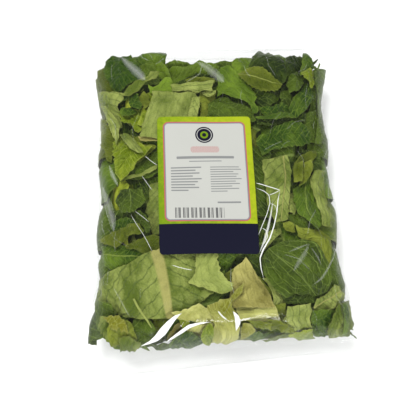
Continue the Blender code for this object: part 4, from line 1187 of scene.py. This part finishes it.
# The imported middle: a closed skin at an even depth, thrown into folds by two noises, closed at its two
# ends by a fan of faces to a point.
def makePackedMiddle():
    draw = np.random.default_rng(packedMiddle["seed"])
    rows, columns = packedMiddle["rows"], packedMiddle["columns"]
    along = np.linspace(-packedMiddle["half"], packedMiddle["half"], rows)[:, None]
    arc = (np.arange(columns) / columns * 2 - 1)[None, :] * bag["filmWidth"]
    angle = arc / bag["filmWidth"] * math.pi
    x, y = np.cos(angle) * packedMiddle["radius"], np.sin(angle) * packedMiddle["radius"]
    fold = 1 - np.abs(softNoise(x + along, y - 0.6 * along, packedMiddle["fold"], draw))
    fold = fold + 0.5 * softNoise(along + x, along * 0.4 + y, packedMiddle["crease"], draw)
    start, deeper = packedMiddle["closing"]
    closing = smoothStep((np.abs(along) / packedMiddle["half"] - start) / (1 - start))
    depth = packedMiddle["depth"] - packedMiddle["crumple"] * fold + deeper * closing
    arc, along = np.broadcast_arrays(arc, along)
    points = film.at(arc, along, depth)
    ends = points[[0, -1]].mean(axis=1)
    index = np.arange(rows * columns).reshape(rows, columns)
    low, high = rows * columns, rows * columns + 1
    faces = gridQuads(rows, columns, wrapped=True).tolist()
    faces += [(after, before, low) for before, after in zip(index[0], np.roll(index[0], -1))]
    faces += [(before, after, high) for before, after in zip(index[-1], np.roll(index[-1], -1))]
    points = np.concatenate([points.reshape(-1, 3), ends])
    flat = [np.append(values, [0.0, 0.0]) for values in (arc, along)]
    count = len(points)
    numbers = {"tone": np.full(count, packedMiddle["tone"]), "vein": flat[0] / packedMiddle["veinSpacing"],
               "rib": np.zeros(count), "rim": np.zeros(count),
               "veinShare": np.full(count, packedMiddle["veinShare"])}
    piece = newPiece("packed_middle", points, faces, leafMaterials["dark"], numbers, flat)
    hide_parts("leaf_mass")


makePackedMiddle()
print("packed middle made")

printedLabel = {
    "size": (0.100, 0.150),
    "centre": (-0.0065, -0.0026),
    "corner": 0.004,
    "thickness": 0.0004,
    "gap": 0.0009,  # under it
    "rows": 150, "columns": 90,
    "ripple": (0.00012, 0.030),  # height and length
    "seed": 3,
    "border": 0.0062,  # of green round the panel
    "panelCorner": 0.006,
    "foot": 0.031,  # height of the navy foot
    "footBorder": 0.0025,  # of green between panel and foot
    "line": 0.0011,  # width of the two fine lines round the panel
    "ink": 0.00012,  # half the width over which an inked edge turns
    "emblem": 0.0535,  # height of its middle, then its rings from the outside, radius and colour
    "rings": ((0.0095, "foot"), (0.0080, "panel"), (0.0073, "foot"), (0.0042, "green"), (0.0022, "foot")),
    "band": ((0.0, 0.0365), (0.0150, 0.0036), 0.0030),  # middle, half its size and its corner
    "barBlock": ((-0.0080, -0.0325), (0.0250, 0.0055), 0.0002),
}

labelColours = {
    "green": (102, 130, 10), "yellow": (152, 166, 24), "panel": (175, 176, 170), "line": (168, 84, 84),
    "second": (120, 124, 128), "foot": (9, 10, 32), "rule": (104, 106, 108), "bars": (64, 64, 66),
}

# plain rules across the panel: across, height, half a length and half a thickness, in millimetres
singleRules = [(0.0, 27.5, 30.0, 1.4), (0.0, 23.2, 17.0, 0.5), (22.5, -21.5, 12.0, 0.9)]
ruleColumns = [  # across, spacing, half a thickness, and how much each rule is shifted and lengthened
    (-20.5, 3.1, 0.7, (0, -3, -1, -4.5, 0, -2, -3.5, -1.5, -7)),
    (20.5, 2.6, 0.5, (-1, 0, -4, -1.5, -2.5, 0, -3, -1, -5, -1.5, -7.5)),
]
columnTop, columnHalf = 16.5, 16.0  # height of a column's first rule, and half a rule's length


# All the rules of the panel, the columns' ones at even spacings.
def labelRules():
    rules = list(singleRules)
    for across, spacing, thick, shifts in ruleColumns:
        for k, shift in enumerate(shifts):
            rules.append((across + shift, columnTop - spacing * k, columnHalf + shift, thick))
    return np.array(rules) / 1000


# Share of ink inside a box with round corners: the distance to the box's edge, crossed over a short rise.
def boxMask(u, v, centre, half, corner):
    du = (u - centre[0]).math("ABSOLUTE") - (half[0] - corner)
    dv = (v - centre[1]).math("ABSOLUTE") - (half[1] - corner)
    outU, outV = du.math("MAXIMUM", 0.0), dv.math("MAXIMUM", 0.0)
    outside = (outU * outU + outV * outV).math("SQRT")
    inside = du.math("MAXIMUM", dv).math("MINIMUM", 0.0)
    return 1.0 - (outside + inside - corner).rise(-printedLabel["ink"], printedLabel["ink"])


# The print: a dabbed green border, a plain panel in two fine lines, a navy foot, plain rules, a round
# emblem, a hatched band and a block of bars. All of it is worked out from the label's flat coordinates.
def makeLabelMaterial():
    maker = Maker("printed_label")
    flat = maker.uv("flat")
    u, v = (maker.node("SeparateXYZ", {}, [flat], k) for k in range(2))
    dabs = maker.noise(flat, 160.0, 3.0, 0.7)
    sweep = (u * 9.0 + v * 3.0 + 0.5 + (dabs - 0.5) * 1.6).clamped()
    colour = maker.mix(sweep, labelColours["green"], labelColours["yellow"])
    (halfU, halfV), border = np.array(printedLabel["size"]) / 2, printedLabel["border"]
    footTop = -halfV + printedLabel["foot"]
    foot = 1.0 - v.rise(footTop - 0.0001, footTop + 0.0001)
    colour = maker.mix(foot, colour, labelColours["foot"])
    low, high = footTop + printedLabel["footBorder"], halfV - border  # of the panel
    line, corner = printedLabel["line"], printedLabel["panelCorner"]
    for step, ink in enumerate(("line", "second", "panel")):
        half = (halfU - border - step * line, (high - low) / 2 - step * line)
        panel = boxMask(u, v, (0.0, (low + high) / 2), half, corner - step * line)
        colour = maker.mix(panel, colour, labelColours[ink])
    rules = None
    for across, height, half, thick in labelRules().tolist():
        mask = boxMask(u, v, (across, height), (half, thick), min(thick, 0.0008))
        rules = mask if rules is None else rules.math("MAXIMUM", mask)
    colour = maker.mix(rules * 0.8, colour, labelColours["rule"])
    hatch = (v * 5200.0 + u * 2600.0).math("SINE").rise(-0.6, 0.6)
    colour = maker.mix(boxMask(u, v, *printedLabel["band"]) * hatch * 0.7, colour, labelColours["line"])
    for radius, ink in printedLabel["rings"]:
        ring = boxMask(u, v, (0.0, printedLabel["emblem"]), (radius, radius), radius)
        colour = maker.mix(ring, colour, labelColours[ink])
    bars = ((u * 1500.0).math("SINE") + (u * 3790.0).math("SINE") * 0.9).math("SINE").rise(-0.1, 0.1)
    colour = maker.mix(boxMask(u, v, *printedLabel["barBlock"]) * bars * 0.85, colour, labelColours["bars"])
    wear = maker.noise(flat, 45.0, 4.0)
    roughness = (wear * 0.25 + 0.28).clamped()
    return maker.finish(maker.principled(colour, roughness, maker.bump(wear, 0.25, 0.0008), 0.25))


# Arc and distance along the bag of the front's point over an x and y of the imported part.
def onFront(x, y):
    along = y + bagMiddle[1]
    row = int(np.argmin(np.abs(film.along - along)))
    front = np.abs(film.arc) < bag["frontShare"] * bag["filmWidth"]
    return float(np.interp(x, film.place[row, front, 0], film.arc[front])), along


labelArc, labelAlong = onFront(*printedLabel["centre"])


# The sticker: a rectangle with round corners, each row of its grid shortened by the corner's circle.
def makeLabel():
    halfU, halfV = np.array(printedLabel["size"]) / 2
    rows, columns, corner = printedLabel["rows"], printedLabel["columns"], printedLabel["corner"]
    v = halfV * np.sin(np.linspace(-1, 1, rows)[:, None] * math.pi / 2)
    into = np.clip(np.abs(v) - (halfV - corner), 0, corner)
    u = np.linspace(-1, 1, columns)[None, :] * (halfU - corner + np.sqrt(corner**2 - into**2))
    u, v = np.broadcast_arrays(u, v)
    height, length = printedLabel["ripple"]
    ripple = height * softNoise(u, v, length, np.random.default_rng(printedLabel["seed"]))
    depth = -(printedLabel["gap"] + printedLabel["thickness"]) - ripple
    points = film.at(labelArc + u, labelAlong + v, depth)
    faces = gridQuads(rows, columns).tolist()
    piece = newPiece("label_sheet", points, faces, makeLabelMaterial(), {}, (u, v))
    thicken(piece, printedLabel["thickness"])
    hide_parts("label")


makeLabel()
print("label made")

filmSkin = {
    "frontColumns": 326, "backColumns": 76, "stations": 240, "frontReach": 0.150,
    "seed": 12,
    "sealGathers": 30,  # folds that run in from each end seal, on each face
    "gatherLength": (0.012, 0.050), "gatherDrift": 0.010, "gatherHalf": (0.0014, 0.0036),
    "gatherHeight": (0.0003, 0.0012), "gatherMilk": 0.08,
    "ripple": (0.00022, 0.016),  # height and length of its small waves
    "sideVeil": (0.118, 0.020),  # arc past which the film stands off the leaves, and over what length
    "endVeil": (0.162, 0.016),  # the same for the distance along the bag
    "flatBack": (0.62, 0.1),  # share of the film's width past which it lies flat on the table, and its turn
    "veil": 0.05,  # share of milky light where it stands off, and the length of its patches
    "veilPatch": 0.03,
    "sealVeil": 0.04,
    "clearLabel": (0.0005, 0.003),  # how far past the label the film is flat, and over what length
    "ventEdge": (0.0027, 0.0006),  # radius of a hole's clear middle, and its soft edge
    "mirror": 0.015,  # share mirrored by a face seen straight on, and what a grazing look adds
    "grazing": 0.45,
}

# Creases and clear folds read off the view: line of pixels, width and height in millimetres, and milkiness.
# The milkiness is mostly painted highlight: white glare of the lamps along the creases, and a painted
# reflection as soft haze on the wide folds.
foldsAndGlare = [
    ("256,183 262,184.5 270,187 280,190", 0.45, 0.3, 0.75),
    ("256,188 264,191 269,195 270,203 267,214 262,226 258,236", 0.4, 0.3, 0.65),
    ("280,190 278,200 277,212 274,226 270,238 263,250 260,258 261,268 264,280",
     (0.3, 0.5, 0.5, 0.6, 0.7, 0.8, 0.6, 0.5, 0.3), 0.4, 0.8),
    ("269,195 275,193 280,190", 0.35, 0.3, 0.6),
    ("273,200 271,214 268,228 264,242 259,254", (0.3, 1.0, 1.6, 1.4, 0.4), 0.3, 0.4),
    ("262,228 266,230 268,236 264,244", 0.4, 0.3, 0.55),
    ("270,203 276,206 277,214", 0.3, 0.2, 0.4),
    ("145,156 151,161 157,165", 0.35, 0.3, 0.4),
    ("142,176 147,183 152,190", 0.35, 0.3, 0.35),
    ("131,215 137,225 143,234 148,243 152,251", 0.35, 0.3, 0.35),
    ("135,211 143,217 149,222", 0.3, 0.2, 0.3),
    ("197,62 205,66 214,73 224,82", (1.5, 4.5, 6.0, 5.0), 0.1, 0.08),
    ("121,57 128,64 136,71 145,80", (1.5, 4.5, 6.0, 5.0), 0.1, 0.1),
    ("102,186 108,204 112,218 114,232", (1.5, 5.0, 5.0, 2.0), 0.1, 0.08),
    ("109,165 113,176 118,186", (1.0, 3.0, 1.0), 0.1, 0.1),
    ("337,244 333,258 328,268 322,278 312,286", (0.3, 0.9, 1.2, 1.4, 0.4), 0.2, 0.08),
    ("288,252 298,248 309,244", (0.3, 1.3, 0.5), 0.1, 0.06),
    ("309,244 305,253 299,262 293,272", (0.5, 2.6, 3.0, 0.5), 0.1, 0.05),
    ("311,247 317,256 322,266", (0.3, 1.2, 0.3), 0.1, 0.06),
    ("172,265 178,267 186,269 192,270", 0.4, 0.3, 0.45),
    ("218,311 222,316 227,320", 0.7, 0.3, 0.6),
    ("141,346 150,342.5 157,338 163,331.5 169,324 175,317.5 182,313",
     (0.4, 1.2, 2.7, 3.7, 2.9, 1.7, 0.5), 0.5, 0.95),
    ("165,343 174,337 182,331.5 189,326.5 199,323.5 210,322", (0.4, 1.1, 1.6, 1.7, 1.0, 0.4), 0.5, 0.9),
    ("233,311 237,317 238,323 236,331", (0.4, 2.2, 2.6, 0.4), 0.5, 0.95),
    ("239,321 244,319.5 250,318.5", 0.7, 0.3, 0.55),
]

foldRule = {
    "lift": 0.0007,  # of a fold over the film's plain face
    "softFrom": 0.0010,  # half widths from which a fold is a soft haze
    "stroke": 0.0007,  # from one row of a fold's points to the next
    "thickness": 0.0001,
    "fine": 44,  # faint creases laid at random
    "fineShare": (0.02, 0.07),
    "fineReach": (0.135, 0.165),  # arc and distance along the bag within which they lie
    "fineTurn": 0.55,  # spread of their headings, off lengthwise
    "fineLength": (0.005, 0.018),  # half their length
    "fineBend": 0.35,
    "fineWidth": (0.0002, 0.0006), "fineHeight": 0.0002,
    "labelRoom": 0.020,
    "seed": 12,
}


# A ridge along a line of two points: full on the line, falling to nothing one width away.
def ridge(arc, along, line, width):
    rise = np.zeros(arc.shape)
    low, high = line.min(axis=0) - 2.0 * width, line.max(axis=0) + 2.0 * width
    near = (arc > low[0]) & (arc < high[0]) & (along > low[1]) & (along < high[1])
    fromStart = np.stack([arc[near], along[near]], axis=-1) - line[0]
    step = line[1] - line[0]
    share = np.clip(fromStart @ step / float(step @ step), 0.0, 1.0)
    away = np.hypot(*(fromStart - share[:, None] * step).T)
    rise[near] = np.clip(1.0 - away / width, 0.0, 1.0) ** 1.4
    return rise


# One fold of film: a ribbon along a line, narrowed to a point at both ends and arched across. Its milkiness
# is painted glare: a haze that fades to its edges on a wide faint fold, an even white stroke on the others.
def foldRibbon(line, widths, height, share):
    count = max(int(lengthOf(line) / foldRule["stroke"]), 8)
    path, run = evenLine(line, count, 5), np.linspace(0.0, 1.0, count)
    given = distanceAlong(line)
    half = np.interp(run, given / given[-1], np.broadcast_to(widths, len(line)))
    half = half * np.clip(9.0 * run * (1.0 - run), 0.02, 1.0) ** 0.7
    square = squareTo(unit(np.gradient(path, axis=0)))
    p = np.linspace(-1.0, 1.0, 7)
    flat = path[:, None] + square[:, None] * (half[:, None] * p)[..., None]
    depth = 0.0 * flat[..., 0] - (foldRule["lift"] + height * (1.0 - p**2))
    soft = half.max() > foldRule["softFrom"] and share < 0.5
    milkAndGlare = share * ((1.0 - np.abs(p)) if soft else (0.7 + 0.3 * p**2)) + 0.0 * depth
    return film.at(flat[..., 0], flat[..., 1], depth), milkAndGlare, flat


# Faint creases: short bent lines at random places and turns, none of them by the label.
def fineRibbons(draw):
    ribbons = []
    reach = np.array(foldRule["fineReach"])
    labelHalf = np.array(printedLabel["size"]) / 2 + foldRule["labelRoom"]
    while len(ribbons) < foldRule["fine"]:
        place = draw.uniform(-reach, reach)
        heading = math.pi / 2 + draw.normal(0.0, foldRule["fineTurn"])
        step = np.array([math.cos(heading), math.sin(heading)]) * draw.uniform(*foldRule["fineLength"])
        bend = np.array([-step[1], step[0]]) * draw.uniform(-foldRule["fineBend"], foldRule["fineBend"])
        if (np.abs(place - (labelArc, labelAlong)) < labelHalf).all():
            continue
        line = np.array([place - step, place + bend, place + step])
        width, share = draw.uniform(*foldRule["fineWidth"]), draw.uniform(*foldRule["fineShare"])
        ribbons.append(foldRibbon(line, width, foldRule["fineHeight"], share))
    return ribbons


# The folds of the film as one object: those read off the view, with their painted glare, then the faint ones.
def makeFoldsAndGlare(material):
    ribbons = []
    for pixels, widths, height, share in foldsAndGlare:
        line = whereSeen(pointsOf(pixels), lambda arc, along: 0.0 * arc - foldRule["lift"])
        ribbons.append(foldRibbon(line, np.array(widths) / 1000, height / 1000, share))
    ribbons += fineRibbons(np.random.default_rng(foldRule["seed"]))
    faces, start = [], 0
    for _, share, _ in ribbons:
        faces += (gridQuads(*share.shape)[:, ::-1] + start).tolist()
        start += share.size
    points = np.concatenate([place.reshape(-1, 3) for place, _, _ in ribbons])
    milkAndGlare = np.concatenate([share.ravel() for _, share, _ in ribbons])
    flat = np.concatenate([uv.reshape(-1, 2) for _, _, uv in ribbons])
    piece = newPiece("film_folds_and_painted_glare", points, faces, material, {"milkAndGlare": milkAndGlare}, (flat[:, 0], flat[:, 1]))
    thicken(piece, foldRule["thickness"])


# Rise and milkiness of the gathers that run in from the two end seals, on both faces, each a ridge that
# fades with its length.
def sealGathers(arc, along, draw):
    width, count = bag["filmWidth"], filmSkin["sealGathers"]
    rise, milkAndGlare = np.zeros(arc.shape), np.zeros(arc.shape)
    for number in range(4 * count):
        end, side, k = (-1, 1)[number // (2 * count)], number // count % 2, number % count
        start = (k + draw.uniform(0.1, 0.9)) / count * width - width / 2 + side * width
        length, drift = draw.uniform(*filmSkin["gatherLength"]), draw.uniform(-1, 1) * filmSkin["gatherDrift"]
        line = np.array([[start, end * filmEnd], [start + drift, end * (filmEnd - length)]])
        half, height = draw.uniform(*filmSkin["gatherHalf"]), draw.uniform(*filmSkin["gatherHeight"])
        shape = sum(ridge(arc + turn, along, line, half) for turn in (0, 2 * width, -2 * width))
        shape = shape * np.clip(1 - (filmEnd - np.abs(along)) / length, 0, 1)
        rise += height * shape
        milkAndGlare = np.maximum(milkAndGlare, draw.uniform(0.0, filmSkin["gatherMilk"]) * shape)
    return rise, milkAndGlare


# The film: one closed skin over arc and distance along the bag, with gathers running in from the seals
# and small waves, flat by the label. Milkiness is a number on each point.
def makeFilm(material):
    front, back = filmSkin["frontReach"], bag["filmWidth"]
    arcs = np.concatenate([
        np.linspace(-front, front, filmSkin["frontColumns"], endpoint=False),
        np.linspace(front, 2 * back - front, filmSkin["backColumns"], endpoint=False),
    ])
    arcs = np.sort((arcs + back) % (2 * back) - back)
    stations = np.linspace(-filmEnd, filmEnd, filmSkin["stations"])
    stations = np.sort(np.append(stations, [-bag["halfLength"], bag["halfLength"]]))
    skin = FilmFace(stations, arcs, 1601)
    arc, along = np.meshgrid(arcs, stations)
    reach = np.abs(along) / bag["halfLength"]
    draw = np.random.default_rng(filmSkin["seed"])
    rise, milkAndGlare = sealGathers(arc, along, draw)
    height, length = filmSkin["ripple"]
    rise += height * softNoise(arc, along, length, draw)
    flat, flatTurn = filmSkin["flatBack"]
    onFlat = smoothStep((np.abs(arc) / bag["filmWidth"] - flat) / flatTurn)
    (side, sideTurn), (end, endTurn) = filmSkin["sideVeil"], filmSkin["endVeil"]
    standsOff = smoothStep((np.abs(arc) - side) / sideTurn) * (1 - onFlat)
    standsOff = np.maximum(standsOff, smoothStep((np.abs(along) - end) / endTurn))
    patches = 0.65 + 0.35 * softNoise(arc, along, filmSkin["veilPatch"], draw)
    veil = filmSkin["veil"] * standsOff * patches
    milkAndGlare = np.where(reach > 1.0, filmSkin["sealVeil"], np.maximum(milkAndGlare, veil))
    halfU, halfV = np.array(printedLabel["size"]) / 2
    fromLabel = np.maximum(np.abs(arc - labelArc) - halfU, np.abs(along - labelAlong) - halfV)
    room, roomTurn = filmSkin["clearLabel"]
    rise *= smoothStep((fromLabel - room) / roomTurn) * (1 - onFlat)
    rise *= 1 - smoothStep((reach - 1.0) / 0.01)
    points = skin.place - bagMiddle + skin.outward * rise[..., None]
    points[..., 2] = np.maximum(points[..., 2], 0.0)
    radius, edge = filmSkin["ventEdge"]
    fromVent = np.min([np.hypot(arc - place[0], along - place[1]) for place in bag["vents"]], axis=0)
    rows, columns = arc.shape
    first = np.arange(columns)
    faces = gridQuads(rows, columns, wrapped=True).tolist()
    faces += [first[::-1].tolist(), (first + (rows - 1) * columns).tolist()]
    numbers = {"milkAndGlare": milkAndGlare, "vent": 1 - smoothStep((fromVent - radius) / edge), "seal": (reach > 1.0) * 1.0}
    piece = newPiece("clear_film", points, faces, material, numbers, (arc, along))
    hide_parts("film_bag")


# Clear film: light goes through it, less what the glossy face mirrors and what its creases scatter as white.
# On the folds read off the view that white is painted glare: highlights and reflections of the lamps painted
# as scattered light.
def makeFilmMaterial():
    maker = Maker("clear_film")
    flat = maker.uv("flat")
    crinkle = maker.noise(flat, 95.0, 4.0, 0.6)
    crimp = (maker.node("SeparateXYZ", {}, [flat], 1) * 3900.0).math("SINE") * maker.attribute("seal")
    normal = maker.bump(crinkle + crimp * 0.3, 0.35, 0.0010)
    clear = maker.node("BsdfTransparent", {}, {"Color": (0.995, 0.997, 0.995, 1.0)})
    whiteOfMilkAndGlare = maker.node("BsdfDiffuse", {}, {"Color": (0.97, 0.98, 0.97, 1.0)})
    gloss = maker.node("BsdfGlossy", {}, {"Color": (1.0, 1.0, 1.0, 1.0), "Roughness": 0.09, "Normal": normal})
    facing = maker.node("LayerWeight", {}, {"Blend": 0.5, "Normal": normal}, "Facing")
    mirrored = facing.math("POWER", 5.0) * filmSkin["grazing"] + filmSkin["mirror"]
    closed = 1.0 - maker.attribute("vent")
    # the white mixed in here is the film's own milkiness on its skin and painted glare on the folds read off
    # the view
    milkAndGlareMix = maker.node("MixShader", {}, [(maker.attribute("milkAndGlare") * closed).clamped(), clear, whiteOfMilkAndGlare])
    return maker.finish(maker.node("MixShader", {}, [(mirrored * closed).clamped(), milkAndGlareMix, gloss]))


filmMaterial = makeFilmMaterial()
makeFilm(filmMaterial)
makeFoldsAndGlare(filmMaterial)
print("film made")

studio = {
    "sky": (1.0, 1.0, 1.0, 1.0),
    "skyStrength": 0.58,
    "floor": ((246, 247, 247), (250, 250, 250)),
    "floorHeight": -0.0002,
    "softboxes": (  # place, size, power and whether the glossy film mirrors it
        ((-0.40, 0.50, 1.50), (0.6, 0.6), 17.0, False),
        ((0.2, -0.8, 1.3), (1.5, 1.0), 8.5, False),
        ((0.2, -1.3, 0.75), (0.5, 0.22), 6.0, True),
    ),
}


# A pale floor, an even sky and softboxes, each turned so that its -Z points at the bag.
def makeStudio():
    bpy.ops.mesh.primitive_plane_add(size=8.0, location=(0.0, 0.0, studio["floorHeight"]))
    floor = bpy.context.object
    floor.name = "floor"
    maker = Maker("floor")
    where = maker.node("TexCoord", {}, {}, "Object")
    shade = maker.mix(maker.noise(where, 3.0), *studio["floor"])
    floor.data.materials.append(maker.finish(maker.node("BsdfDiffuse", {}, {"Color": shade})))
    world = bpy.data.worlds.new("studio")
    world.use_nodes = True
    sky = world.node_tree.nodes["Background"].inputs
    sky["Color"].default_value, sky["Strength"].default_value = studio["sky"], studio["skyStrength"]
    scene.world = world
    for number, (place, size, power, mirrored) in enumerate(studio["softboxes"]):
        light = bpy.data.lights.new(f"softbox_{number}", "AREA")
        light.shape, light.size, light.size_y, light.energy = "RECTANGLE", size[0], size[1], power
        lamp = bpy.data.objects.new(light.name, light)
        lamp.visible_glossy = mirrored
        lamp.location = place
        lamp.rotation_euler = (-Vector(place)).to_track_quat("-Z", "Y").to_euler()
        scene.collection.objects.link(lamp)


# The camera of the view: its lens from the focal length in pixels, its tilt about X.
def makeCamera():
    lens = bpy.data.cameras.new("camera")
    lens.sensor_width = 36.0
    lens.lens = view["focal"] / view["size"] * lens.sensor_width
    lens.clip_start = 0.01
    camera = bpy.data.objects.new("camera", lens)
    camera.location = viewEye
    camera.rotation_euler = (view["tilt"], 0.0, 0.0)
    scene.collection.objects.link(camera)
    scene.camera = camera


makeStudio()
makeCamera()
scene.view_settings.view_transform = "Standard"
print("studio and camera set")
